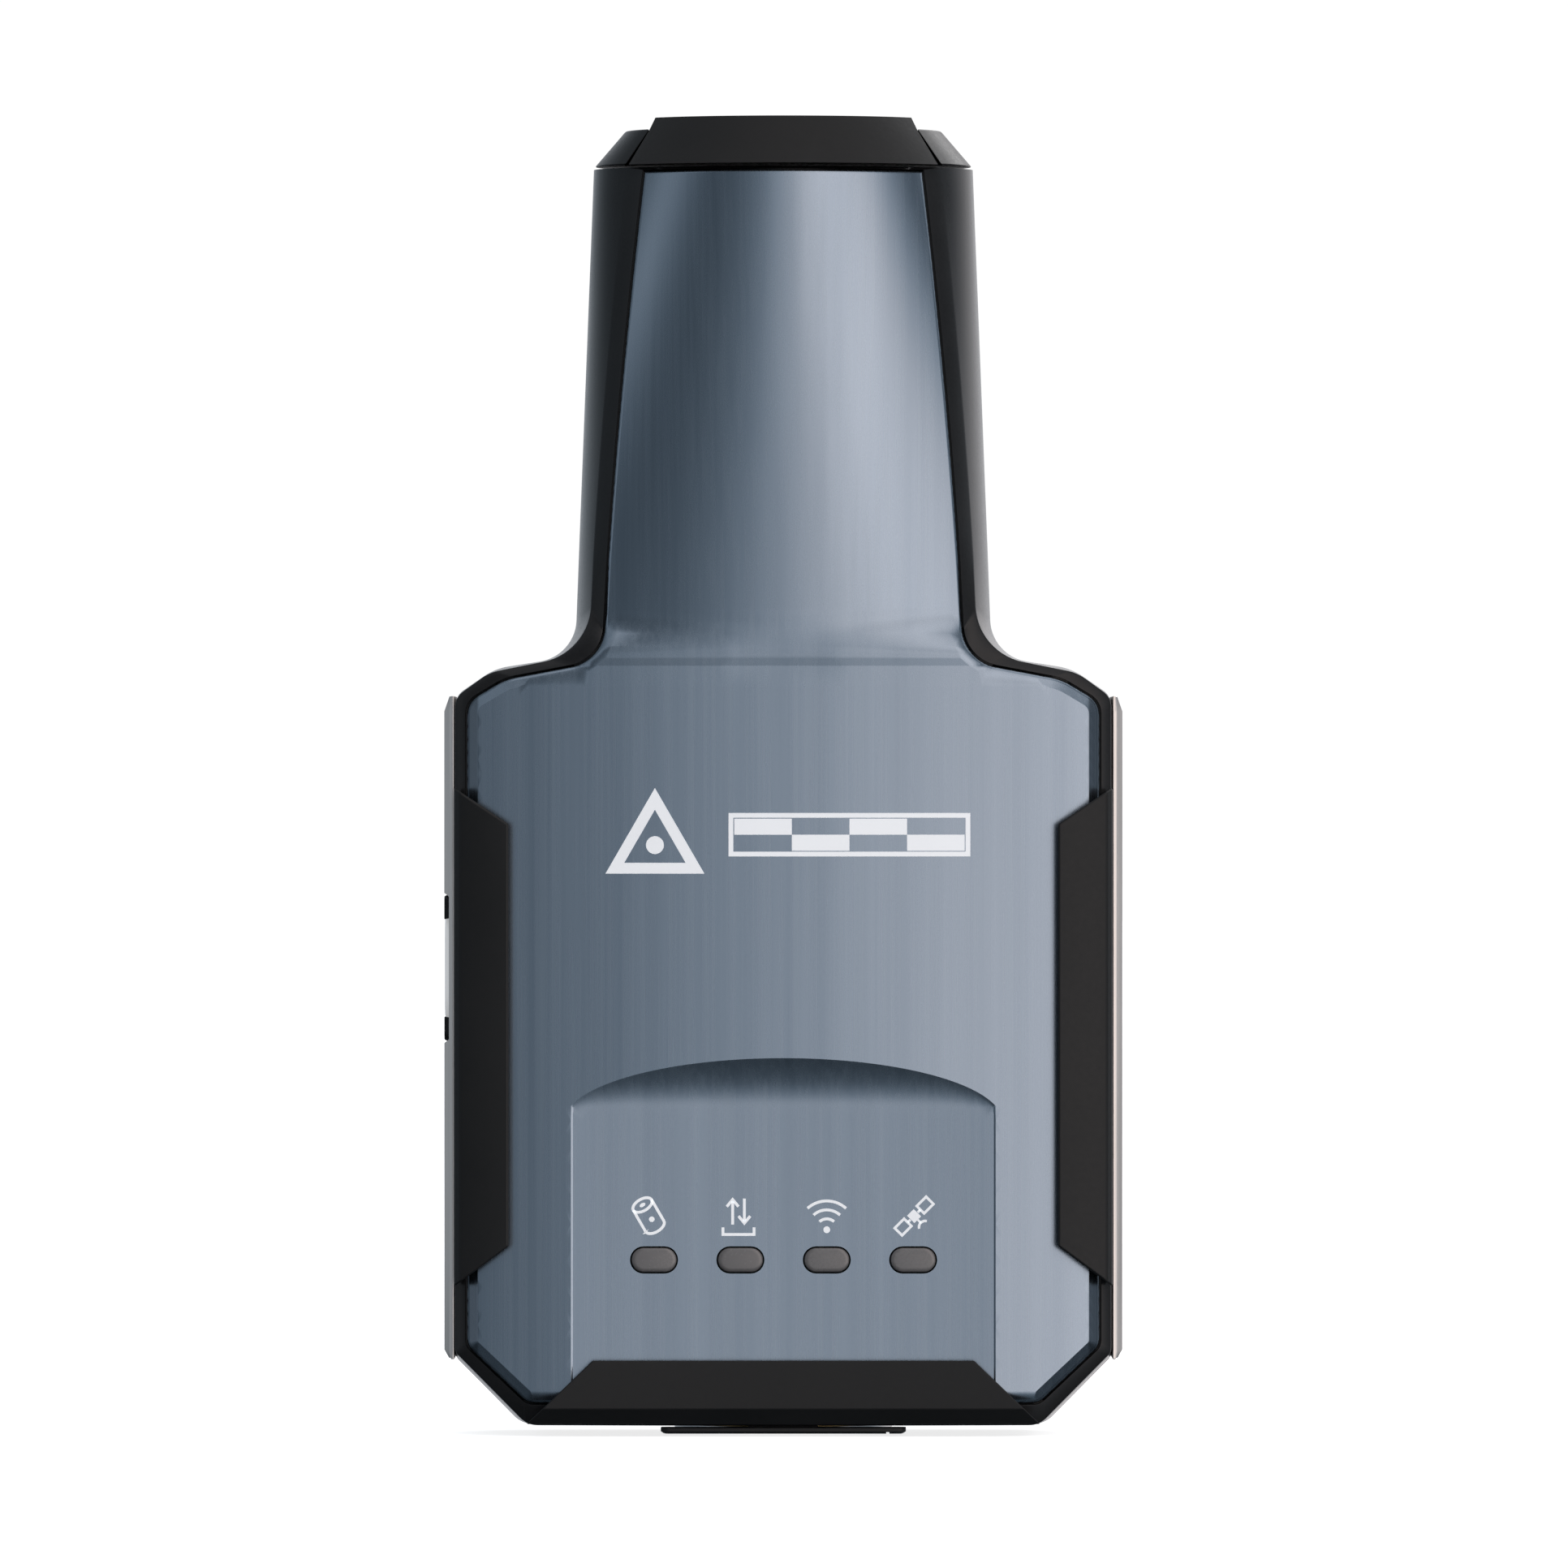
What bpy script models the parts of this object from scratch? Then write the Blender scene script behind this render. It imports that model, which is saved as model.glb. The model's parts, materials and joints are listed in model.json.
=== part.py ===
# Pocket GNSS receiver: a flat hand-held body with a helical antenna neck on top.
#
# Frame: +Z up along the antenna, -Y is the front with the status lights,
# +X is the right-hand side seen from the front.  The origin is at the middle
# of the footprint, on the plane the receiver stands on.
# All dimensions and shape functions are in millimetres; meshes are stored in metres.

import math

import bmesh
import bpy
import numpy as np
from mathutils import Matrix, Vector
from mathutils.geometry import delaunay_2d_cdt

MM = 0.001
SIDES = ((-1, "left"), (1, "right"))     # sign of x, name

# ------------------------------------------------------- driving dimensions
HEIGHT = 139.8            # foot to top of the crown pad
Z_BASE = 0.95             # underside of the housing, above the foot
Z_NECK_TOP = 134.4        # where the neck ends and the crown starts
Z_VALLEY = 81.5           # crease where the neck meets the body plateau
Z_PLATEAU_TOP = 79.3      # upper edge of the flat body plateau
BODY_HALF_W = 34.9        # housing half width
RAIL_HALF_W = 36.08       # side rails, the widest point
Y_PLATEAU = -17.0         # front plateau
Y_REAR = 17.0             # rear flat
COVER_T = 1.8             # front cover wall
WALL_T = 2.0              # housing wall
SPLIT = 0.15              # half gap at the parting plane, y = 0
RECESS_HALF_W = 22.5      # indicator recess
RECESS_DEPTH = 1.5
LED_Z = 18.55
BUTTON_Z = 49.4
PORT_Y = -11.6
FOOT_Y = 3.5              # axis of the foot and the pole thread
SCREWS = (("upper", 28.2, 70.5), ("lower", 26.4, 9.9))    # level, x and z, on both sides

# ---------------------------------------------------------------- materials
# look: (base colour, roughness, metallic)
LOOKS = {
    "cover_paint": ((0.19, 0.235, 0.29), 0.38, 0.75),
    "black_plastic": ((0.012, 0.012, 0.013), 0.42, 0.0),
    "black_rubber": ((0.016, 0.016, 0.016), 0.75, 0.0),
    "rail_trim": ((0.62, 0.62, 0.63), 0.35, 0.8),
    "button_white": ((0.85, 0.85, 0.86), 0.35, 0.1),
    "lens_grey": ((0.16, 0.155, 0.155), 0.30, 0.0),
    "aluminium": ((0.72, 0.72, 0.73), 0.35, 1.0),
    "brass": ((0.75, 0.55, 0.25), 0.35, 1.0),
    "steel": ((0.55, 0.55, 0.56), 0.30, 1.0),
    "pcb_green": ((0.02, 0.16, 0.07), 0.45, 0.0),
    "shield": ((0.70, 0.70, 0.70), 0.40, 1.0),
    "white_part": ((0.80, 0.80, 0.78), 0.50, 0.0),
    "cell_wrap": ((0.03, 0.12, 0.30), 0.40, 0.0),
    "copper": ((0.80, 0.42, 0.25), 0.35, 1.0),
    "wire_red": ((0.50, 0.03, 0.03), 0.45, 0.0),
    "silver_label": ((0.55, 0.56, 0.57), 0.45, 0.3),
    "seal_grey": ((0.10, 0.10, 0.11), 0.80, 0.0),
}

# -------------------------------------------------------------------- scene
for old in list(bpy.data.objects):
    bpy.data.objects.remove(old, do_unlink=True)

parts_col = bpy.data.collections.new("gnss_receiver")
cutters_col = bpy.data.collections.new("cutters")
bpy.context.scene.collection.children.link(parts_col)
bpy.context.scene.collection.children.link(cutters_col)


def add_part(name, mesh, look):
    """Put a mesh in the parts collection as an object with a material of its own."""
    colour, roughness, metallic = LOOKS[look]
    material = bpy.data.materials.new(name + "_" + look)
    material.use_nodes = True
    shader = material.node_tree.nodes["Principled BSDF"]
    shader.inputs["Base Color"].default_value = (*colour, 1.0)
    shader.inputs["Roughness"].default_value = roughness
    shader.inputs["Metallic"].default_value = metallic
    mesh.materials.append(material)
    obj = bpy.data.objects.new(name, mesh)
    parts_col.objects.link(obj)
    return obj


def shade(mesh, sharp_angle):
    mesh.shade_smooth()
    mesh.set_sharp_from_angle(angle=math.radians(sharp_angle))


def to_mesh(name, shape, sharp_angle=35.0):
    """Turn a bmesh in millimetres into a mesh in metres."""
    bmesh.ops.recalc_face_normals(shape, faces=shape.faces)
    shape.transform(Matrix.Scale(MM, 4))
    mesh = bpy.data.meshes.new(name)
    shape.to_mesh(mesh)
    shape.free()
    shade(mesh, sharp_angle)
    return mesh


def part(name, shape, look, sharp_angle=35.0):
    return add_part(name, to_mesh(name, shape, sharp_angle), look)


def helper(name, shape):
    """A tool object for booleans, hidden from renders."""
    obj = bpy.data.objects.new(name, to_mesh(name, shape))
    cutters_col.objects.link(obj)
    obj.hide_render = True
    obj.display_type = "WIRE"
    return obj


# ---------------------------------------------------------------- modifiers
def boolean(obj, tool, operation):
    mod = obj.modifiers.new(operation.lower() + "_" + tool.name, "BOOLEAN")
    mod.object = tool
    mod.operation = operation
    mod.solver = "EXACT"


def cut(obj, tool):
    boolean(obj, tool, "DIFFERENCE")


def join(obj, tool):
    boolean(obj, tool, "UNION")


def bevel(obj, width, segments=1, angle=40.0):
    mod = obj.modifiers.new("edge_bevel", "BEVEL")
    mod.width = width * MM
    mod.segments = segments
    mod.limit_method = "ANGLE"
    mod.angle_limit = math.radians(angle)


def set_origin(obj, point):
    """Move the object's origin to a point and keep its mesh in place."""
    origin = Vector(point) * MM
    obj.data.transform(Matrix.Translation(-origin))
    obj.location = origin


# --------------------------------------------------------------- primitives
def block(low, high):
    shape = bmesh.new()
    bmesh.ops.create_cube(shape, size=1.0)
    size = [b - a for a, b in zip(low, high)]
    middle = [(b + a) / 2 for a, b in zip(low, high)]
    bmesh.ops.scale(shape, vec=size, verts=shape.verts)
    bmesh.ops.translate(shape, vec=middle, verts=shape.verts)
    return shape


def box(name, low, high, look, edge=0.0):
    """A box part, with bevelled edges if `edge` is given."""
    obj = part(name, block(low, high), look)
    if edge:
        bevel(obj, edge)
    return obj


AXIS_TURN = {
    "Z": Matrix.Identity(4),
    "Y": Matrix.Rotation(math.radians(-90), 4, "X"),
    "X": Matrix.Rotation(math.radians(90), 4, "Y"),
}


def cylinder(radius, start, end, centre, segments, axis="Z", end_radius=None):
    """A cylinder or cone from start to end along an axis.

    `centre` holds the other two coordinates, in x, y, z order.
    """
    shape = bmesh.new()
    bmesh.ops.create_cone(shape, cap_ends=True, segments=segments, radius1=radius,
                          radius2=radius if end_radius is None else end_radius,
                          depth=end - start)
    bmesh.ops.translate(shape, vec=(0, 0, (start + end) / 2), verts=shape.verts)
    shape.transform(AXIS_TURN[axis])
    shift = list(centre)
    shift.insert("XYZ".index(axis), 0.0)
    bmesh.ops.translate(shape, vec=shift, verts=shape.verts)
    return shape


def turned(name, profile, look, steps, centre=(0.0, 0.0)):
    """Screw a half section of (radius, height) points round a vertical axis.

    A section that starts and ends on the axis is left open there.
    """
    mesh = bpy.data.meshes.new(name)
    count = len(profile)
    edges = [(i, i + 1) for i in range(count - 1)]
    if profile[0][0] > 1e-6 or profile[-1][0] > 1e-6:
        edges.append((count - 1, 0))
    mesh.from_pydata([(radius * MM, 0.0, z * MM) for radius, z in profile], edges, [])
    obj = add_part(name, mesh, look)
    obj.location = (centre[0] * MM, centre[1] * MM, 0)
    mod = obj.modifiers.new("turn", "SCREW")
    mod.steps = steps
    mod.render_steps = steps
    mod.use_merge_vertices = True
    mod.merge_threshold = 0.000001
    mod.use_smooth_shade = True
    return obj


def wire(name, points, radius, look, resolution=2):
    """A round wire with filled ends through a list of points."""
    curve = bpy.data.curves.new(name, "CURVE")
    curve.dimensions = "3D"
    curve.bevel_depth = radius * MM
    curve.bevel_resolution = resolution
    curve.use_fill_caps = True
    spline = curve.splines.new("POLY")
    spline.points.add(len(points) - 1)
    for spline_point, (x, y, z) in zip(spline.points, points):
        spline_point.co = (x * MM, y * MM, z * MM, 1.0)
    source = bpy.data.objects.new(name + "_curve", curve)
    bpy.context.scene.collection.objects.link(source)
    depsgraph = bpy.context.evaluated_depsgraph_get()
    mesh = bpy.data.meshes.new_from_object(source.evaluated_get(depsgraph))
    mesh.name = name
    # weld the caps to the tube
    shape = bmesh.new()
    shape.from_mesh(mesh)
    bmesh.ops.remove_doubles(shape, verts=shape.verts, dist=1e-6)
    bmesh.ops.recalc_face_normals(shape, faces=shape.faces)
    shape.to_mesh(mesh)
    shape.free()
    shade(mesh, 50)
    bpy.data.objects.remove(source, do_unlink=True)
    return add_part(name, mesh, look)


# -------------------------------------------------------------------- lofts
def at_x(x, ring):
    return [(x, y, z) for y, z in ring]


def at_y(y, ring):
    return [(x, y, z) for x, z in ring]


def at_z(z, ring):
    return [(x, y, z) for x, y in ring]


def bridge(shape, rings):
    """Join each ring of vertices to the next, one to one."""
    for ring, following in zip(rings, rings[1:]):
        count = len(ring)
        for i in range(count):
            j = (i + 1) % count
            shape.faces.new((ring[i], ring[j], following[j], following[i]))


def loft(rows):
    """Closed solid through a stack of rings of 3D points."""
    shape = bmesh.new()
    rings = [[shape.verts.new(point) for point in row] for row in rows]
    bridge(shape, rings)
    shape.faces.new(rings[0][::-1])
    shape.faces.new(rings[-1])
    return shape


def ring_verts(shape, ring, depths):
    """Vertices of an (x, z) ring at one depth y, or at a depth for each point."""
    depths = np.broadcast_to(depths, (len(ring),))
    return [shape.verts.new((x, y, z)) for (x, z), y in zip(ring, depths)]


# ----------------------------------------------------------------- outlines
# An outline is a closed ring of (x, z) points that starts at the top centre
# and runs down the right-hand side.  All outlines share one point count, so
# the rings of a wall can be bridged one to one.
TOP_PARTS = 5             # parts of the top edge, centre to corner
NECK_STATIONS = 4         # outline points down the side of the neck
NECK_STATION_TOP = Z_NECK_TOP - 3.0
NECK_STATION_END = 93.0
NECK_R_TOP = 20.2         # neck half width under the crown
NECK_TAPER = 0.039        # growth of that half width per mm downwards


def cover_neck_edge(z):
    """Half width of the cover on the neck, a parabola in height."""
    rise = z - 85.0
    return 19.0 - 0.056 * rise - 0.00065 * rise * rise


def crease_neck_edge(z):
    return cover_neck_edge(z) + 1.6 + 0.007 * (z - 85.0)


def neck_radius(z):
    return NECK_R_TOP + (Z_NECK_TOP - z) * NECK_TAPER


# Each outline: neck half-width rule, top z, then the corners (x, z, radius):
# neck fillet, inner shoulder, outer shoulder, upper and lower end of the
# bottom chamfer.
OUTLINES = {
    "cover": (cover_neck_edge, 133.9,
              ((19.1, 82.0, 4.5), (29.5, 80.05, 6.0), (33.5, 77.65, 2.2),
               (33.5, 9.4, 1.5), (27.1, 3.4, 1.5))),
    "crease": (crease_neck_edge, Z_NECK_TOP,
               ((20.6, 82.9, 6.3), (31.2, 80.8, 5.0), (34.8, 78.2, 2.0),
                (34.8, 8.7, 1.0), (27.1, Z_BASE, 2.6))),
    "outer": (neck_radius, Z_NECK_TOP,
              ((22.2, 82.6, 4.6), (30.6, 81.3, 6.0), (BODY_HALF_W, 78.4, 2.0),
               (BODY_HALF_W, 7.9, 1.2), (28.0, Z_BASE, 2.4))),
}
CORNER_SEGMENTS = (4, 2, 2, 1, 2)        # arc segments of those five corners


def outline_corners(kind):
    """Right-hand corners of an outline as (x, z, radius, arc segments)."""
    half_width, z_top, bends = OUTLINES[kind]
    drop = NECK_STATION_TOP - NECK_STATION_END
    heights = [z_top] + [NECK_STATION_TOP - drop * i / (NECK_STATIONS - 1)
                         for i in range(NECK_STATIONS)]
    corners = [(half_width(z), z, 0.0, 0) for z in heights]
    return corners + [(*bend, segs) for bend, segs in zip(bends, CORNER_SEGMENTS)]


def corner_runs(corners):
    """Each corner with its points before, at and after, closed on the centre line."""
    chain = [Vector((0.0, corners[0][1]))]
    chain += [Vector(corner[:2]) for corner in corners]
    chain.append(Vector((0.0, corners[-1][1])))
    return zip(corners, chain, chain[1:], chain[2:])


def offset_corners(corners, distance):
    """Move every straight run of the outline outwards (inwards if negative)."""
    moved = []
    for (_, _, radius, segments), before, here, after in corner_runs(corners):
        run_in = (here - before).normalized()
        run_out = (after - here).normalized()
        normal_in = Vector((-run_in.y, run_in.x))
        normal_out = Vector((-run_out.y, run_out.x))
        mitre = (normal_in + normal_out).normalized()
        point = here + mitre * (distance / max(mitre.dot(normal_in), 0.3))
        turn = run_in.x * run_out.y - run_in.y * run_out.x
        if radius > 0:
            radius = max(radius + (distance if turn < 0 else -distance), 0.35)
        moved.append((point.x, point.y, radius, segments))
    return moved


def fillet_corners(corners):
    """Replace each corner that has a radius by points on its arc."""
    points = []
    for (_, _, radius, segments), before, corner, after in corner_runs(corners):
        if radius <= 0:
            points.append((corner.x, corner.y))
            continue
        back = before - corner
        ahead = after - corner
        back_length, ahead_length = back.length, ahead.length
        back.normalize()
        ahead.normalize()
        half = math.acos(max(-1.0, min(1.0, back.dot(ahead)))) / 2
        # the arc may use up no more than half of either run
        tangent = min(radius / math.tan(half), 0.49 * back_length, 0.49 * ahead_length)
        radius = tangent * math.tan(half)
        centre = corner + (back + ahead).normalized() * (radius / math.sin(half))
        first = corner + back * tangent - centre
        last = corner + ahead * tangent - centre
        start = math.atan2(first.y, first.x)
        end = math.atan2(last.y, last.x)
        sweep = (end - start + math.pi) % (2 * math.pi) - math.pi
        for k in range(segments + 1):
            angle = start + sweep * k / segments
            points.append((centre.x + radius * math.cos(angle),
                           centre.y + radius * math.sin(angle)))
    return points


def outline(kind, offset=0.0):
    corners = offset_corners(outline_corners(kind), offset)
    side = fillet_corners(corners)
    x_top, z_top = corners[0][:2]
    z_bottom = corners[-1][1]
    top = [(x_top * k / TOP_PARTS, z_top) for k in range(1, TOP_PARTS)]
    right = top + side + [(side[-1][0] / 2, z_bottom)]
    left = [(-x, z) for x, z in reversed(right)]
    return np.array([(0.0, z_top)] + right + [(0.0, z_bottom)] + left)


def ring_distance(points, ring):
    """Distance from each point to a closed ring."""
    best = np.full(len(points), 1e9)
    for start, run in zip(ring, np.roll(ring, -1, axis=0) - ring):
        offset = points - start
        along = np.clip((offset @ run) / max(run @ run, 1e-12), 0, 1)
        best = np.minimum(best, np.hypot(*(offset - along[:, None] * run).T))
    return best


def inside(points, ring):
    """Which points lie inside a closed ring, by counting crossings."""
    x, z = points[:, 0], points[:, 1]
    result = np.zeros(len(points), bool)
    for (x0, z0), (x1, z1) in zip(ring, np.roll(ring, -1, axis=0)):
        if z0 == z1:
            continue
        crosses = (z0 > z) != (z1 > z)
        x_cross = x0 + (z - z0) * (x1 - x0) / (z1 - z0)
        result ^= crosses & (x < x_cross)
    return result


# ----------------------------------------------------------------- surfaces
NECK_D_TOP = 20.0         # neck half depth under the crown
NECK_D_TAPER = 0.015      # growth of that half depth per mm downwards
NECK_LEAN = 3.6           # the neck front runs back by this much ...
NECK_LEAN_LENGTH = 49.4   # ... over this length
NECK_CURVE_END = 53.0     # below the neck top, where the neck front stops changing
BODY_FRONT_R = 180.0      # radius of the crowned body front
EDGE_BAND = 1.1           # strip along the cover's edge that falls back
EDGE_FALL = 0.8
RECESS_WALL = 0.2         # width of the recess side wall
RECESS_FLOOR_Z = 34.4     # where the recess reaches its full depth
RECESS_ARC = (23.2, 33.2, 6.75)          # half width, centre z, height
COVER_RING = outline("cover")


def smooth_step(t):
    t = np.clip(t, 0.0, 1.0)
    return t * t * (3 - 2 * t)


def neck_front(x, z):
    """Front of the neck: its round section opens out steadily towards the body."""
    down = np.clip(Z_NECK_TOP - z, 0.0, NECK_CURVE_END)
    radius = 1.0 / (0.0540 - 0.00111 * down + 0.00000775 * down * down)
    nose = -NECK_D_TOP + NECK_LEAN * down / NECK_LEAN_LENGTH
    return nose + radius - np.sqrt(np.maximum(radius * radius - x * x, 0.0))


def neck_rear(x, z):
    """Back of the neck, an elliptic section."""
    depth = NECK_D_TOP + (Z_NECK_TOP - z) * NECK_D_TAPER
    return depth * np.sqrt(np.maximum(1.0 - (np.abs(x) / neck_radius(z)) ** 2, 0.06))


def recess_top(x):
    half_width, z_centre, height = RECESS_ARC
    return z_centre + height * np.sqrt(np.maximum(1 - (x / half_width) ** 2, 0.0))


def plateau_y(x):
    """The body front is a shallow cylinder about a vertical axis."""
    return Y_PLATEAU + x * x / (2 * BODY_FRONT_R)


def cover_y(points):
    """Front surface of the cover: body plateau, neck, valley and recess."""
    x, z = points[:, 0], points[:, 1]
    base = plateau_y(x)
    edge = base + EDGE_FALL * np.clip(1 - ring_distance(points, COVER_RING) / EDGE_BAND, 0, 1)
    # the valley is flatter than the plateau and always lies behind it
    flat = np.maximum(Y_PLATEAU + 0.25 + 0.15 * (base - Y_PLATEAU), base + 0.16)
    valley = np.maximum(flat - 0.16 * np.clip((z - Z_VALLEY) / 1.1, 0, 1), edge)
    upper = valley + (neck_front(x, z) - valley) * smooth_step((z - Z_VALLEY - 0.9) / 4.6)
    descent = np.clip((z - Z_PLATEAU_TOP) / (Z_VALLEY - Z_PLATEAU_TOP), 0, 1)
    lower = np.maximum(base + (flat - base) * descent, edge)
    y = np.where(z >= Z_VALLEY, upper, lower)
    # the recess curves in from its arched top to a flat floor
    z_top = recess_top(x)
    t = np.clip((z_top - z) / (z_top - RECESS_FLOOR_Z), 0, 1)
    wall = np.clip((RECESS_HALF_W - np.abs(x)) / RECESS_WALL, 0, 1)
    recess = base + (Y_PLATEAU + RECESS_DEPTH - base) * (1 - (1 - t) ** 2) * wall
    in_recess = (np.abs(x) < RECESS_HALF_W) & (z < z_top)
    return np.where(in_recess, np.maximum(recess, edge), y)


def rear_y(points):
    """Back surface of the housing: body flat blending into the neck."""
    x, z = points[:, 0], points[:, 1]
    return Y_REAR + (neck_rear(x, z) - Y_REAR) * smooth_step((z - 78.0) / 11.0)


def add_patch(shape, ring, holes, lines, spacing, clearance, height):
    """Triangulate the inside of a ring, following feature lines.

    `spacing` is the x and z pitch of the filling grid; `clearance` is the gap
    it keeps from rings and lines, as a share of the x pitch.  Returns the
    vertices, those of the ring first.
    """
    points, edges = [], []
    for loop in [ring, *holes]:
        base = len(points)
        points += [tuple(p) for p in loop]
        edges += [(base + i, base + (i + 1) % len(loop)) for i in range(len(loop))]
    for line in lines:
        base = len(points)
        points += [tuple(p) for p in line]
        edges += [(base + i, base + i + 1) for i in range(len(line) - 1)]

    x_pitch, z_pitch = spacing
    low, high = ring.min(0), ring.max(0)
    row_count = max(int((high[1] - low[1]) / z_pitch), 1)
    columns = int(high[0] / x_pitch) + 1
    grid = np.array([((i + 0.5 * (j % 2)) * x_pitch,
                      low[1] + (high[1] - low[1]) * j / row_count)
                     for j in range(1, row_count)
                     for i in range(-columns, columns + 1)])
    gap = clearance * x_pitch
    keep = inside(grid, ring) & (ring_distance(grid, ring) > gap)
    for hole in holes:
        keep &= ~inside(grid, hole) & (ring_distance(grid, hole) > gap)
    for line in lines:
        line = np.array(line)
        keep &= ring_distance(grid, np.vstack([line, line[::-1]])) > gap
    points += [tuple(p) for p in grid[keep]]

    result = delaunay_2d_cdt([Vector(p) for p in points], edges, [], 0, 1e-5)
    flat = np.array([tuple(p) for p in result[0]])
    triangles = np.array([tuple(face) for face in result[2]])
    middles = flat[triangles].mean(axis=1)
    good = inside(middles, ring)
    for hole in holes:
        good &= ~inside(middles, hole)
    verts = ring_verts(shape, flat, height(flat))
    for triangle in triangles[good]:
        shape.faces.new([verts[i] for i in triangle])
    return verts


# ------------------------------------------------------------ front housing
OUTER = outline("outer")
EDGE_Y = cover_y(COVER_RING)
SEAT_GAP = 0.4            # between the cover's back and the ledge under it
LEDGE_T = 1.5
CREASE_ANGLE = math.radians(55)          # end of the side wall's arc
SIDE_STEPS = 3


def seat_y(ring):
    """Rearmost cover surface near each point of a ring."""
    y = np.maximum(EDGE_Y, cover_y(ring))
    return np.maximum.reduce([np.roll(y, k) for k in (-1, 0, 1)])


def front_housing_shape():
    """Side wall, bezel strip round the cover, and the ledge the cover sits on."""
    crease = outline("crease")
    rim = outline("cover", 0.25)
    middle = outline("cover", -1.5)
    ledge = outline("cover", -3.0)
    inner = outline("outer", -WALL_T - 0.2)
    # the bezel strip falls back from the cover's edge, more so on the neck
    crease_y = EDGE_Y + 1.2 + 1.3 * smooth_step((COVER_RING[:, 1] - 80.0) / 8.0)

    shape = bmesh.new()
    rings = []
    quarter = math.radians(90)
    for k in range(SIDE_STEPS + 1):          # parting plane to crease
        angle = quarter + (CREASE_ANGLE - quarter) * k / SIDE_STEPS
        outward = (math.sin(angle) - math.sin(CREASE_ANGLE)) / (1 - math.sin(CREASE_ANGLE))
        forward = math.cos(angle) / math.cos(CREASE_ANGLE)
        rings.append(ring_verts(shape, crease + (OUTER - crease) * outward,
                                -SPLIT + (crease_y + SPLIT) * forward))
    rings.append(ring_verts(shape, rim, EDGE_Y + 0.15))
    under_cover = COVER_T + SEAT_GAP
    rings.append(ring_verts(shape, rim, EDGE_Y + under_cover))
    for ring, depth in ((middle, 0.0), (ledge, 0.0), (ledge, LEDGE_T)):
        rings.append(ring_verts(shape, ring, seat_y(ring) + under_cover + depth))
    rings.append(ring_verts(shape, inner, -SPLIT))
    bridge(shape, rings + rings[:1])
    bmesh.ops.triangulate(shape, faces=shape.faces)
    return shape


# ------------------------------------------------------------- rear housing
BACK_INSET = 5.0          # from the outline to the edge of the back surface
# Share of the way from the side to the back edge, ring by ring, on the body
BODY_INWARD = (0.0, 0.06, 0.13, 0.42)
BODY_REARWARD = (0.0, 0.45, 0.76, 0.94)


def rear_housing_shape():
    """Open outer skin of the rear shell: side wall rings and the back."""
    back_ring = outline("outer", -BACK_INSET)
    # the back runs straight up to the crown
    back_ring[back_ring[:, 1] > 129.0, 1] = Z_NECK_TOP - 0.2
    shape = bmesh.new()
    back = add_patch(shape, back_ring, [], [], spacing=(5.2, 8.0), clearance=0.45,
                     height=rear_y)
    back_y = rear_y(back_ring)
    neck_share = smooth_step((OUTER[:, 1] - 79.0) / 9.0)
    end = math.asin((NECK_R_TOP - BACK_INSET) / NECK_R_TOP)
    quarter = math.radians(90)
    rings = []
    for k, (body_in, body_back) in enumerate(zip(BODY_INWARD, BODY_REARWARD)):
        angle = quarter + (end - quarter) * k / len(BODY_INWARD)
        neck_in = (1 - math.sin(angle)) / (1 - math.sin(end))
        neck_back = math.cos(angle) / math.cos(end)
        inward = body_in + (neck_in - body_in) * neck_share
        rearward = body_back + (neck_back - body_back) * neck_share
        rings.append(ring_verts(shape, OUTER + (back_ring - OUTER) * inward[:, None],
                                SPLIT + (back_y - SPLIT) * rearward))
    rings.append(back[:len(back_ring)])
    bridge(shape, rings)
    bmesh.ops.triangulate(shape, faces=shape.faces)
    return shape


def build_rear_housing():
    obj = part("rear_housing", rear_housing_shape(), "black_plastic")
    wall = obj.modifiers.new("wall", "SOLIDIFY")
    wall.thickness = WALL_T * MM
    wall.offset = -1.0
    wall.use_even_offset = True
    return obj


# ---------------------------------------------------------------- LED lenses
LEDS = (("battery", -13.7), ("data", -4.55), ("wireless", 4.6), ("satellite", 13.75))  # name, x
LED_SIZE = (4.8, 2.6)
LED_GAP = 0.15            # round each lens
LED_ARC_PARTS = 5
LENS_ROWS = ((-0.18, -0.35), (-0.02, 0.0), (2.6, 0.0))   # y behind the recess floor, growth
CHIP_HALF = (0.8, 0.4)    # half width and half height
CHIP_Y = (-11.0, -10.15)


def led_outline(x_centre, grow=0.0):
    """Stadium of (x, z) points round one lens, long axis along X."""
    width, height = (size + 2 * grow for size in LED_SIZE)
    radius = height / 2
    points = []
    for side, start in ((1, -90), (-1, 90)):
        for k in range(LED_ARC_PARTS + 1):
            angle = math.radians(start + 180 * k / LED_ARC_PARTS)
            points.append((x_centre + side * (width / 2 - radius) + radius * math.cos(angle),
                           LED_Z + radius * math.sin(angle)))
    return np.array(points)


def build_leds():
    floor = Y_PLATEAU + RECESS_DEPTH
    half_w, half_h = CHIP_HALF
    for name, x in LEDS:
        lens = loft([at_y(floor + depth, led_outline(x, grow)) for depth, grow in LENS_ROWS])
        part("led_lens_" + name, lens, "lens_grey")
        box("led_chip_" + name, (x - half_w, CHIP_Y[0], LED_Z - half_h),
            (x + half_w, CHIP_Y[1], LED_Z + half_h), "white_part")


# --------------------------------------------------------------- front cover
RECESS_LINE_Z = (3.9, 12.0, 24.0)        # points up the sides of the recess
RECESS_LINE_TOP = 34.0                   # end of the lines at the foot of its walls


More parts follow.
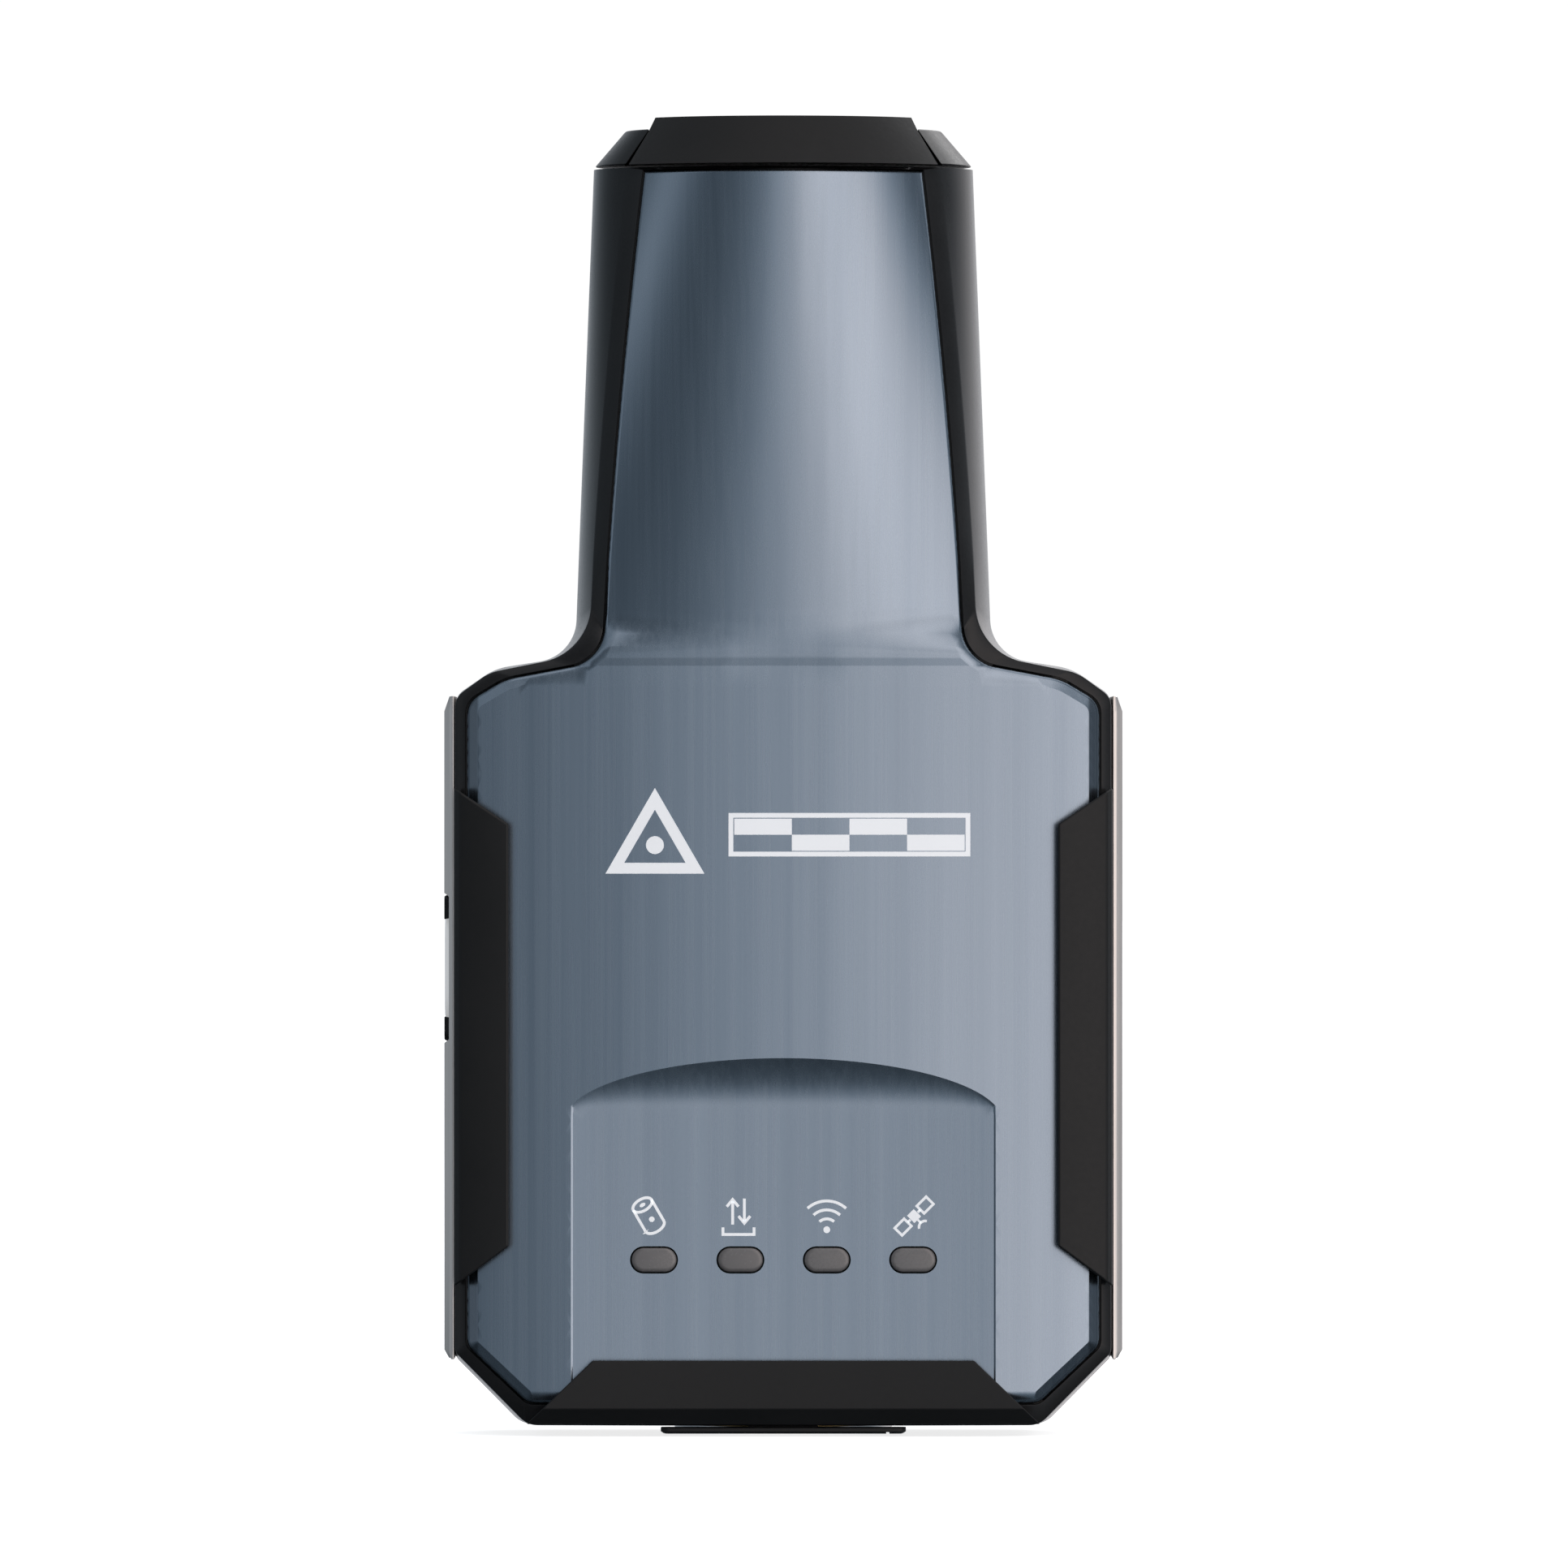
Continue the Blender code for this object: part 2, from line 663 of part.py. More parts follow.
def recess_lines():
    """Rim of the recess, then the foot of its left and right walls."""
    xs = [RECESS_HALF_W * math.sin(math.radians(a)) for a in range(-90, 91, 15)]
    lines = [[(-RECESS_HALF_W, z) for z in RECESS_LINE_Z]
             + [(x, float(recess_top(x))) for x in xs]
             + [(RECESS_HALF_W, z) for z in reversed(RECESS_LINE_Z)]]
    for side, _ in SIDES:
        x = side * (RECESS_HALF_W - RECESS_WALL)
        lines.append([(x, z) for z in (*RECESS_LINE_Z, RECESS_LINE_TOP)])
    return lines


def plateau_lines():
    """Inner edge of the strip that falls back, right and left of the plateau."""
    right = [(x, z) for x, z in outline("cover", -EDGE_BAND)
             if x > 0 and 4.6 < z < Z_PLATEAU_TOP]
    return [right, [(-x, z) for x, z in right]]


def front_cover_shape():
    lines = recess_lines() + plateau_lines()
    for z, half_width in ((Z_VALLEY, 20.5), (Z_PLATEAU_TOP, 26.0)):
        lines.append([(x, z) for x in np.linspace(-half_width, half_width, 9)])
    shape = bmesh.new()
    add_patch(shape, COVER_RING, [led_outline(x, LED_GAP) for _, x in LEDS], lines,
              spacing=(3.9, 5.6), clearance=0.4, height=cover_y)
    loose = [vert for vert in shape.verts if not vert.link_faces]
    bmesh.ops.delete(shape, geom=loose, context="VERTS")
    bmesh.ops.recalc_face_normals(shape, faces=shape.faces)
    result = bmesh.ops.extrude_face_region(shape, geom=list(shape.faces), use_keep_orig=True)
    moved = [item for item in result["geom"] if isinstance(item, bmesh.types.BMVert)]
    bmesh.ops.translate(shape, vec=(0, COVER_T, 0), verts=moved)
    return shape


# -------------------------------------------------------------------- crown
Z_CAP = Z_NECK_TOP + 0.3
# z, radius at the sides, radius at front and back, x of the step between them
CAP_ROWS = ((Z_CAP, 20.1, 18.5, 16.75), (138.54, 16.8, 14.8, 14.2))
# z, radius, x where the sides are cut flat
TOP_PAD_ROWS = ((Z_CAP, 20.2, 16.4), (138.3, 17.0, 14.3), (HEIGHT, 15.6, 13.6))
PAD_HOLLOW_R = (19.05, 15.2)             # bottom and top radius of the cone cut from the pad
PAD_HOLLOW_Z = (Z_CAP - 0.2, 138.84)


def clipped_ring(radius, x_clip, parts=7):
    """A circle whose sides are cut flat at x = +-x_clip."""
    start = math.acos(x_clip / radius)
    angles = [start + (math.pi - 2 * start) * k / parts for k in range(parts + 1)]
    return [(sign * radius * math.cos(a), sign * radius * math.sin(a))
            for sign in (1, -1) for a in angles]


def stepped_ring(side_radius, front_radius, x_step, side_parts=4, front_parts=8):
    """A circle at the sides and a smaller one at front and back, stepping at x_step."""
    side_end = math.acos(x_step / side_radius)
    front_start = math.acos(x_step / front_radius)
    points = []
    for k in range(side_parts + 1):
        angle = -side_end + 2 * side_end * k / side_parts
        points.append((side_radius * math.cos(angle), side_radius * math.sin(angle)))
    for k in range(front_parts + 1):
        angle = front_start + (math.pi - 2 * front_start) * k / front_parts
        points.append((front_radius * math.cos(angle), front_radius * math.sin(angle)))
    return points + [(-x, -y) for x, y in points]


def build_crown():
    cap = loft([at_z(z, stepped_ring(*sizes)) for z, *sizes in CAP_ROWS])
    part("top_cap", cap, "black_plastic")
    pad_shape = loft([at_z(z, clipped_ring(*sizes)) for z, *sizes in TOP_PAD_ROWS])
    pad = part("top_pad", pad_shape, "black_rubber")
    hollow = cylinder(PAD_HOLLOW_R[0], *PAD_HOLLOW_Z, (0, 0), 40, end_radius=PAD_HOLLOW_R[1])
    cut(pad, helper("cut_top_pad", hollow))


# -------------------------------------------------------------- rubber pads
PAD_FRONT = -15.95        # front and back of the side pads
PAD_BACK = -14.95
PAD_INNER_X = 29.1
PAD_INNER_Z = (20.0, 64.75)              # lower and upper end at the inner edge
PAD_OUTER_Z = (15.7, 68.6)               # and at the outer edge
# (x, y) section of the right-hand side pad
SIDE_PAD_SECTION = (
    (PAD_INNER_X, PAD_BACK), (PAD_INNER_X, PAD_FRONT - 0.1), (29.35, PAD_FRONT - 0.35),
    (32.9, PAD_FRONT + 0.25), (34.3, PAD_FRONT + 0.8), (BODY_HALF_W, PAD_FRONT + 1.8),
    (BODY_HALF_W, PAD_FRONT + 3.55), (33.8, PAD_FRONT + 2.65), (33.8, PAD_BACK + 0.75),
    (32.4, PAD_BACK + 0.5),
)
FOOT_PAD_TOP = 7.9
FOOT_PAD_FRONT = Y_PLATEAU
FOOT_PAD_BACK = -15.8
# (z, y) section of the bottom pad
BOTTOM_PAD_SECTION = (
    (7.65, FOOT_PAD_FRONT), (2.8, FOOT_PAD_FRONT), (1.1, -15.5), (1.25, -15.3),
    (3.05, FOOT_PAD_BACK), (FOOT_PAD_TOP, FOOT_PAD_BACK), (FOOT_PAD_TOP, FOOT_PAD_FRONT + 0.25),
)


def build_side_pads():
    """L-shaped pads over the long front edges, their ends cut at a slant."""
    for side, name in SIDES:
        rows = []
        for inner_z, outer_z in zip(PAD_INNER_Z, PAD_OUTER_Z):
            slope = (outer_z - inner_z) / (BODY_HALF_W - PAD_INNER_X)
            rows.append([(side * x, y, inner_z + slope * (x - PAD_INNER_X))
                         for x, y in SIDE_PAD_SECTION])
        part(name + "_side_pad", loft(rows), "black_rubber")


def build_bottom_pad():
    """Trapezium pad over the lower front edge, turned under at the bottom."""
    def half_width(z):
        return 20.2 + (FOOT_PAD_TOP - z) * 1.04

    rows = [[(side * half_width(z), y, z) for z, y in BOTTOM_PAD_SECTION] for side in (1, -1)]
    part("bottom_pad", loft(rows), "black_rubber")


# --------------------------------------------------------------- side rails
RAIL_STEP_X = 35.5        # the lower face on either side of the raised strip
RAIL_BASE_X = 35.15
RAIL_END_X = 35.3         # the rail ends are not drawn in further than this
# (x, y) section of the right-hand rail
RAIL_SECTION = (
    (RAIL_BASE_X, -10.9), (RAIL_STEP_X, -10.62), (RAIL_STEP_X, -5.3), (RAIL_HALF_W, -4.8),
    (RAIL_HALF_W, 4.8), (RAIL_STEP_X, 5.3), (RAIL_STEP_X, 10.62), (RAIL_BASE_X, 10.9),
)
RAIL_ROWS = ((7.9, 0.5), (8.8, 0.0), (76.7, 0.0), (78.3, 0.55))      # z, drawn in by


def build_rail(side, name):
    rows = [[(side * (x - max(0.0, min(inset, x - RAIL_END_X))), y, z)
             for x, y in RAIL_SECTION] for z, inset in RAIL_ROWS]
    return part(name + "_rail", loft(rows), "rail_trim")


# ------------------------------------------------------------- power button
BUTTON_HALF_L = 5.35      # half length along Z
BUTTON_HALF_W = 2.7
BEZEL_HALF_L = 7.8
BEZEL_HALF_W = 5.1
BEZEL_CORNER_R = 0.9
BUTTON_BASE_X = -34.2
# x, growth of the ring at that x
BUTTON_ROWS = ((-RAIL_HALF_W, -0.25), (-35.8, 0.0), (BUTTON_BASE_X, 0.0))
BEZEL_ROWS = ((-RAIL_HALF_W, -0.15), (-35.7, 0.0), (-35.15, 0.0))
BEZEL_HOLE_ROWS = ((-37.0, 0.2), (-33.0, 0.2))
RAIL_SLOT_ROWS = ((-37.0, 0.3), (-34.95, 0.3))
WALL_SLOT_ROWS = ((-35.1, 0.3), (-31.0, 0.3))
# x, half length less than the button's, of the cut across the bezel
FLANK_ROWS = ((-37.0, 0.4), (-35.45, 0.05))
FLANK_HALF_W = 6.0
STEM_R = 1.2
STEM_X = (-34.6, -31.9)
PLUNGER_R = 1.0
PLUNGER_X = (-31.6, -29.9)
PLUNGER_ORIGIN_X = -30.8


def button_ring(grow):
    """Stadium of (y, z) points round the button, long axis along Z."""
    half_length, half_width = BUTTON_HALF_L + grow, BUTTON_HALF_W + grow
    points = []
    for sign in (1, -1):
        for k in range(7):
            angle = math.radians(180 * k / 6)
            z = half_length - half_width + half_width * math.sin(angle)
            points.append((sign * half_width * math.cos(angle), BUTTON_Z + sign * z))
    return points


def bezel_ring(grow):
    """Rounded rectangle of (y, z) points round the button."""
    radius = BEZEL_CORNER_R + grow
    y_corner = BEZEL_HALF_W + grow - radius
    z_corner = BEZEL_HALF_L + grow - radius
    points = []
    for y_sign, z_sign, start in ((1, 1, 0), (-1, 1, 90), (-1, -1, 180), (1, -1, 270)):
        for k in range(7):
            angle = math.radians(start + 90 * k / 6)
            points.append((y_sign * y_corner + radius * math.cos(angle),
                           BUTTON_Z + z_sign * z_corner + radius * math.sin(angle)))
    return points


def flank_ring(inset):
    """Rectangle of (y, z) points round the button."""
    half_length = BUTTON_HALF_L - inset
    return [(y * FLANK_HALF_W, BUTTON_Z + z * half_length)
            for y, z in ((1, 1), (-1, 1), (-1, -1), (1, -1))]


def side_loft(ring, rows):
    return loft([at_x(x, ring(change)) for x, change in rows])


def build_bezel():
    """The bezel stands proud only above and below the key; its flanks lie low."""
    bezel = part("button_bezel", side_loft(bezel_ring, BEZEL_ROWS), "black_plastic")
    cut(bezel, helper("cut_bezel", side_loft(button_ring, BEZEL_HOLE_ROWS)))
    cut(bezel, helper("cut_flanks", side_loft(flank_ring, FLANK_ROWS)))


def build_button():
    button = part("power_button", side_loft(button_ring, BUTTON_ROWS), "button_white")
    stem = cylinder(STEM_R, *STEM_X, (0.0, BUTTON_Z), 16, axis="X")
    join(button, helper("join_button", stem))
    set_origin(button, (BUTTON_BASE_X, 0.0, BUTTON_Z))
    plunger_shape = cylinder(PLUNGER_R, *PLUNGER_X, (0.0, BUTTON_Z), 16, axis="X")
    plunger = part("switch_plunger", plunger_shape, "white_part")
    set_origin(plunger, (PLUNGER_ORIGIN_X, 0.0, BUTTON_Z))


def cut_button_openings(left_rail, front_housing, rear_housing):
    cut(left_rail, helper("cut_rail", side_loft(bezel_ring, RAIL_SLOT_ROWS)))
    wall_slot = helper("cut_wall_button", side_loft(button_ring, WALL_SLOT_ROWS))
    cut(front_housing, wall_slot)
    cut(rear_housing, wall_slot)


# ------------------------------------------------------------ foot and pole
FOOT_R = 11.6
FOOT_T = 0.65
FOOT_HOLE_R = 10.0        # hole through the foot and the housing floor
INSERT_R = 9.7
INSERT_TOP = 13.6
THREAD_R = 7.94           # 5/8 inch survey pole thread, major diameter 15.88
THREAD_CHAMFER = 0.7
INSERT_CAP_Z = (13.9, 15.4)


def build_foot():
    centre = (0, FOOT_Y)
    turned("foot_plate",
           [(FOOT_R, FOOT_T), (FOOT_R, 0.3), (FOOT_R - 0.35, 0.0), (FOOT_HOLE_R, 0.0),
            (FOOT_HOLE_R, FOOT_T)],
           "aluminium", 32, centre)
    turned("pole_insert",
           [(INSERT_R, INSERT_TOP), (INSERT_R, 0.0), (THREAD_R + THREAD_CHAMFER, 0.0),
            (THREAD_R, THREAD_CHAMFER), (THREAD_R, INSERT_TOP)],
           "brass", 32, centre)
    low, high = INSERT_CAP_Z
    turned("insert_cap", [(0.0, high), (INSERT_R, high), (INSERT_R, low), (0.0, low)],
           "black_plastic", 24, centre)


def cut_floor(*objects):
    tool = helper("cut_floor", cylinder(FOOT_HOLE_R, -0.5, 5.5, (0, FOOT_Y), 32))
    for obj in objects:
        cut(obj, tool)


# ------------------------------------------------------- port and its flap
FLAP_HALF_W = 13.0
FLAP_Y = (-14.6, -8.5)
# z, inset in x, inset in y
FLAP_ROWS = ((0.1, 0.5, 0.4), (0.4, 0.0, 0.0), (0.7, 0.0, 0.0))
FLAP_HINGE_Z = 0.4


def flap_ring(x_inset, y_inset):
    half_width = FLAP_HALF_W - x_inset
    front, back = FLAP_Y[0] + y_inset, FLAP_Y[1] - y_inset
    return [(-half_width, front), (half_width, front), (half_width, back), (-half_width, back)]


def port_block(half_width, half_depth, z_low, z_high):
    """A block centred on the port in x and y."""
    return block((-half_width, PORT_Y - half_depth, z_low),
                 (half_width, PORT_Y + half_depth, z_high))


def build_port_cover():
    """Rubber flap with a plug that fills the port mouth, its origin on the left edge."""
    flap_shape = loft([at_z(z, flap_ring(*insets)) for z, *insets in FLAP_ROWS])
    flap = part("port_cover", flap_shape, "black_rubber")
    join(flap, helper("join_plug", port_block(3.7, 0.85, 0.5, 2.7)))
    set_origin(flap, (-FLAP_HALF_W, (FLAP_Y[0] + FLAP_Y[1]) / 2, FLAP_HINGE_Z))


def build_usb(front_housing):
    """The receptacle, its tongue, and the opening in the housing floor."""
    cut(front_housing, helper("cut_port", port_block(5.3, 2.1, -0.5, 9.6)))
    receptacle = box("usb_receptacle", (-4.47, PORT_Y - 1.63, 2.0), (4.47, PORT_Y + 1.6, 9.3),
                     "steel")
    bevel(receptacle, 0.9, segments=2, angle=80.0)
    cut(receptacle, helper("cut_usb", port_block(4.15, 1.27, 1.4, 8.2)))
    part("usb_tongue", port_block(3.3, 0.35, 3.2, 7.9), "black_plastic")


# -------------------------------------------------------------- electronics
PCB_Y = (-9.7, -8.5)
PCB_OUTLINE = ((-26.5, 73.0), (26.5, 73.0), (26.5, 14.0), (19.5, 6.6), (-19.5, 6.6),
               (-26.5, 14.0))            # x, z
PCB_NOTCH_R = 3.7         # clearance round the screw bosses
COMPONENT_Y = -10.0       # back of the components on the front of the board
# name, low corner, high corner, look, bevelled edge
BLOCKS = (
    ("gnss_module", (-11.0, -12.4, 52.0), (11.0, COMPONENT_Y, 70.0), "shield", 0.5),
    ("radio_module", (-9.0, -12.2, 30.0), (9.0, COMPONENT_Y, 44.0), "shield", 0.5),
    ("processor_chip", (13.5, -11.3, 36.0), (22.5, COMPONENT_Y, 45.0), "black_plastic", 0.2),
    ("switch_body", (-29.2, -1.9, BUTTON_Z - 3.0), (-27.0, 1.9, BUTTON_Z + 3.0),
     "black_plastic", 0.2),
    ("switch_board", (-26.7, -3.2, BUTTON_Z - 5.0), (-25.5, 3.2, BUTTON_Z + 5.0),
     "pcb_green", 0.0),
    ("battery_connector", (17.0, -8.2, 14.6), (23.5, -5.4, 18.2), "white_part", 0.2),
    ("antenna_bracket", (-13.5, -6.0, 84.2), (13.5, 11.5, 86.2), "black_plastic", 0.4),
)


def screw_sites():
    """Index, level, side, x and z of each housing screw."""
    for index, (level, x, z) in enumerate(SCREWS):
        for sign, side in SIDES:
            yield index, level, side, sign * x, z


def build_pcb():
    pcb = part("main_pcb", loft([at_y(y, PCB_OUTLINE) for y in PCB_Y]), "pcb_green")
    for index, _, side, x, z in screw_sites():
        notch = cylinder(PCB_NOTCH_R, -10.5, -7.5, (x, z), 20, axis="Y")
        cut(pcb, helper(f"cut_pcb_{index}{side[0]}", notch))


# ------------------------------------------------------------------ battery
CELL_X = 9.6              # cell axes, left and right
CELL_Y = 4.2
# (radius, z) half section of a cell, with its terminal on top
CELL_PROFILE = [(0.0, 81.6), (3.0, 81.6), (3.0, 80.9), (8.8, 80.9), (9.2, 80.4), (9.2, 16.9),
                (8.8, 16.4), (0.0, 16.4)]
TRAY_BORE_R = 9.5
BATTERY_LEAD = ((22.6, -4.0, 30.0), (23.6, -3.0, 27.0), (24.0, -4.0, 23.0),
                (23.2, -6.0, 20.5), (21.5, -6.4, 18.6))


def build_battery():
    tray = box("battery_tray", (-21.0, -6.9, 30.0), (21.0, 10.2, 68.0), "black_plastic")
    for sign, side in SIDES:
        axis = (sign * CELL_X, CELL_Y)
        turned("battery_cell_" + side, CELL_PROFILE, "cell_wrap", 20, axis)
        cut(tray, helper("cut_tray_" + side[0], cylinder(TRAY_BORE_R, 20.0, 80.0, axis, 20)))
    # open the middle of the tray to the rear
    cut(tray, helper("cut_tray_open", block((-14.0, -3.0, 20.0), (14.0, 20.0, 80.0))))
    wire("battery_lead", BATTERY_LEAD, 0.8, "wire_red")


# ------------------------------------------------------ antenna in the neck
FORMER_R = (11.6, 12.9)
FORMER_Z = (90.6, 128.4)
# name, radius, bottom z, top z
ANTENNA_BOARDS = (("antenna_board", 14.2, 88.9, 90.3), ("antenna_top_board", 14.3, 128.7, 129.9))
HELIX_ARMS = 4
HELIX_R = 13.6
HELIX_START_Z = 91.0
HELIX_HEIGHT = 37.2
HELIX_SWEEP = 180.0       # degrees turned by each arm
HELIX_STEPS = 14
COAX_PATH = ((0.0, -7.6, 88.5), (0.0, -7.9, 84.0), (0.0, -8.0, 78.0), (0.3, -8.6, 75.0),
             (0.6, -10.6, 74.0), (0.8, -11.4, 72.6), (0.8, -11.4, 71.2))


def build_antenna():
    (inner, outer), (low, high) = FORMER_R, FORMER_Z
    turned("antenna_former", [(outer, high), (outer, low), (inner, low), (inner, high)],
           "white_part", 28)
    for name, radius, low, high in ANTENNA_BOARDS:
        turned(name, [(0.0, high), (radius, high), (radius, low), (0.0, low)], "pcb_green", 28)
    for arm in range(HELIX_ARMS):
        points = []
        for i in range(HELIX_STEPS + 1):
            angle = math.radians(360.0 / HELIX_ARMS * arm + HELIX_SWEEP * i / HELIX_STEPS)
            points.append((HELIX_R * math.cos(angle), HELIX_R * math.sin(angle),
                           HELIX_START_Z + HELIX_HEIGHT * i / HELIX_STEPS))
        wire("helix_arm_%d" % (arm + 1), points, 0.35, "copper", resolution=1)
    wire("antenna_coax", COAX_PATH, 0.55, "black_plastic")


# --------------------------------------------------------------------- seal
SEAL_OUTER = WALL_T + 1.0                # inset from the housing outline
SEAL_INNER = WALL_T + 2.1
SEAL_HALF_T = 0.9


def build_seal():
    """Gasket round the parting plane, with a grommet round the switch plunger."""
    shape = bmesh.new()
    outer, inner = outline("outer", -SEAL_OUTER), outline("outer", -SEAL_INNER)
    rings = [ring_verts(shape, ring, y) for ring, y in (
        (outer, -SEAL_HALF_T), (outer, SEAL_HALF_T), (inner, SEAL_HALF_T), (inner, -SEAL_HALF_T))]
    bridge(shape, rings + rings[:1])
    seal = part("housing_seal", shape, "seal_grey")
    centre = (0.0, BUTTON_Z)
    join(seal, helper("join_grommet", cylinder(2.7, -31.85, -30.85, centre, 24, axis="X")))
    cut(seal, helper("cut_grommet", cylinder(1.55, -35.0, -28.0, centre, 20, axis="X")))
    return seal


# ---------------------------------------------------------------- fasteners
# (name, radius, y from, y to, segments) of the tools at each screw
BOSS = ("join_boss", 3.1, -12.2, -1.3, 20)
BORE = ("cut_boss", 1.4, -10.6, 1.0, 16)
REAR_HOLE = ("cut_rear", 1.5, 10.0, 20.0, 16)
COUNTERSINK = ("cut_sink", 2.6, 15.9, 20.0, 20)
# (radius, height) half section of a screw; height runs forwards once it is laid down
SCREW_PROFILE = [(0.0, 9.0), (1.15, 9.0), (1.15, -16.1), (2.3, -16.1), (2.3, -16.75),
                 (2.2, -16.9), (0.0, -16.9)]


def build_fasteners(front_housing, rear_housing):
    for _, level, side, x, z in screw_sites():
        suffix = "_" + level + "_" + side
        for operate, target, (name, radius, start, end, segments) in (
                (join, front_housing, BOSS), (cut, front_housing, BORE),
                (cut, rear_housing, REAR_HOLE), (cut, rear_housing, COUNTERSINK)):
            tool = cylinder(radius, start, end, (x, z), segments, axis="Y")
            operate(target, helper(name + suffix, tool))
        screw = turned("screw" + suffix, SCREW_PROFILE, "steel", 16)
        screw.matrix_world = (Matrix.Translation((x * MM, 0, z * MM))
                              @ Matrix.Rotation(math.radians(90), 4, "X"))


# ------------------------------------------------------------- rating plate
PLATE_HALF_W = 17.0
PLATE_Z = (22.0, 50.0)
PLATE_Y = (16.75, 17.1)
POCKET_Y = (16.6, 18.0)
POCKET_GAP = 0.3


def build_rating_plate(rear_housing):
    """Blank rating plate let into the back."""
    half_width = PLATE_HALF_W + POCKET_GAP
    pocket = block((-half_width, POCKET_Y[0], PLATE_Z[0] - POCKET_GAP),
                   (half_width, POCKET_Y[1], PLATE_Z[1] + POCKET_GAP))
    cut(rear_housing, helper("cut_label", pocket))
    box("rating_plate", (-PLATE_HALF_W, PLATE_Y[0], PLATE_Z[0]),
        (PLATE_HALF_W, PLATE_Y[1], PLATE_Z[1]), "silver_label")


# ----------------------------------------------------------------- assembly
# The order of these calls sets the order of the booleans on the shared parts.
def build_receiver():
    front_housing = part("front_housing", front_housing_shape(), "black_plastic")
    rear_housing = build_rear_housing()
    part("front_cover", front_cover_shape(), "cover_paint", sharp_angle=25.0)
    build_crown()
    build_side_pads()
    build_bottom_pad()
    left_rail, _ = [build_rail(sign, side) for sign, side in SIDES]
    build_bezel()
    build_button()
    cut_button_openings(left_rail, front_housing, rear_housing)
    build_leds()
    build_foot()
    seal = build_seal()
    cut_floor(front_housing, rear_housing, seal)
    build_port_cover()
    build_usb(front_housing)
    build_pcb()
    for name, low, high, look, edge in BLOCKS:
        box(name, low, high, look, edge)
    build_battery()
    build_antenna()
    build_fasteners(front_housing, rear_housing)
    build_rating_plate(rear_housing)


build_receiver()
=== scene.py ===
# Handheld GNSS receiver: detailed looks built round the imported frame.
# The foot stands on z = 0 and +Z runs up the antenna neck; -Y is the front and
# +X the right-hand side seen from the front.  Shapes are computed in
# millimetres; MM turns them into scene metres.

import json
import math

import bmesh
import bpy
import numpy as np
from mathutils import Matrix, Vector
from mathutils.geometry import delaunay_2d_cdt


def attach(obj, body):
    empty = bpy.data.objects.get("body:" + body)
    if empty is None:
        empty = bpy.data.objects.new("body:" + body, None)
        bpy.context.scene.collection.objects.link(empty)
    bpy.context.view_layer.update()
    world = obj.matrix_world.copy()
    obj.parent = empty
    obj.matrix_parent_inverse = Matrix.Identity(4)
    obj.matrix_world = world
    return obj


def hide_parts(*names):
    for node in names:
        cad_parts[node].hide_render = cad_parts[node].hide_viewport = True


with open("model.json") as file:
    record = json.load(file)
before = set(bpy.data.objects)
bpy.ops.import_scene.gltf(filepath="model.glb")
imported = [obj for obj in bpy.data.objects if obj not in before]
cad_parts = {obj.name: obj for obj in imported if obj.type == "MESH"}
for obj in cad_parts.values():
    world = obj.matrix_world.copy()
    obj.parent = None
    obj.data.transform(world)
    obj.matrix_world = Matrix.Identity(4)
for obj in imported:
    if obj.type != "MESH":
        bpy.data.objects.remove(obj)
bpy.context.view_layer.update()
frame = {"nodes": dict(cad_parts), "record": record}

MM = 0.001

# ---------------------------------------------------------------- dimensions
HEIGHT = 139.8            # foot to top of the crown pad
Z_BASE = 0.95             # underside of the housing, above the foot
Z_NECK_TOP = 134.4        # where the neck ends and the crown starts
Z_NECK_RUN_END = 93.0     # lowest sampled station of the neck
Z_NECK_REF = 85.0         # height from which the neck edge curve is measured
Z_VALLEY = 81.5           # crease where the neck meets the body plateau
Z_PLATEAU_TOP = 79.3      # upper edge of the flat body plateau
BODY_HALF_W = 34.9        # housing half width
Y_PLATEAU = -17.0         # front plateau
Y_REAR = 17.0             # rear flat
CROWN_R = 180.0           # radius of the crowned body front
NECK_R_TOP = 20.2         # neck half width under the crown
NECK_TAPER = 0.039        # growth of that half width per mm downwards
NECK_D_TOP = 20.0         # neck half depth under the crown
NECK_D_TAPER = 0.015
NECK_LEAN = 3.6           # the neck front runs back by this much ...
NECK_LEAN_RUN = 49.4      # ... over this height
COVER_T = 1.8             # front cover wall
COVER_EDGE_R = 0.3        # rounding of the cover's edge
WALL_T = 2.0              # housing wall
SPLIT = 0.15              # half gap at the parting plane
RIM_W = 1.1               # sloping rim of the cover
RECESS_HALF_W = 22.5      # indicator recess
RECESS_WALL = 0.2         # thickness of its steep side walls
RECESS_Y = Y_PLATEAU + 1.5
RECESS_FLOOR_Z = 34.4
RECESS_LOW_Z = 3.7
RECESS_ARC = (23.2, 33.2, 6.75)         # half width, centre z, height
LED_X = (-13.7, -4.55, 4.6, 13.75)
LED_Z = 18.55
LED_SIZE = (4.8, 2.6)
BUTTON_Z = 49.4
BUTTON_HALF = 5.35
FOOT_Y = 3.5
PORT_Y = -11.6
SCREWS = {"upper": (28.2, 70.5), "lower": (26.4, 9.9)}   # x and z
SIDES = {"left": -1, "right": 1}
PLATE_HALF_W = 17.0       # rating plate on the back
PLATE_Z = (22.0, 50.0)

# ---------------------------------------------------------------- outlines
# An outline is a closed ring of (x, z) points that starts at the top centre
# and runs down the right-hand side.  All outlines share one point count, so
# the rings of a wall can be bridged one to one.
N_TOP = 20
N_NECK = 14
CORNER_SEGMENTS = (14, 8, 8, 6, 8)


def cover_edge(z):
    """Half width of the cover on the neck."""
    up = z - Z_NECK_REF
    return 19.0 - 0.056 * up - 0.00065 * up * up


def crease_edge(z):
    return cover_edge(z) + 1.6 + 0.007 * (z - Z_NECK_REF)


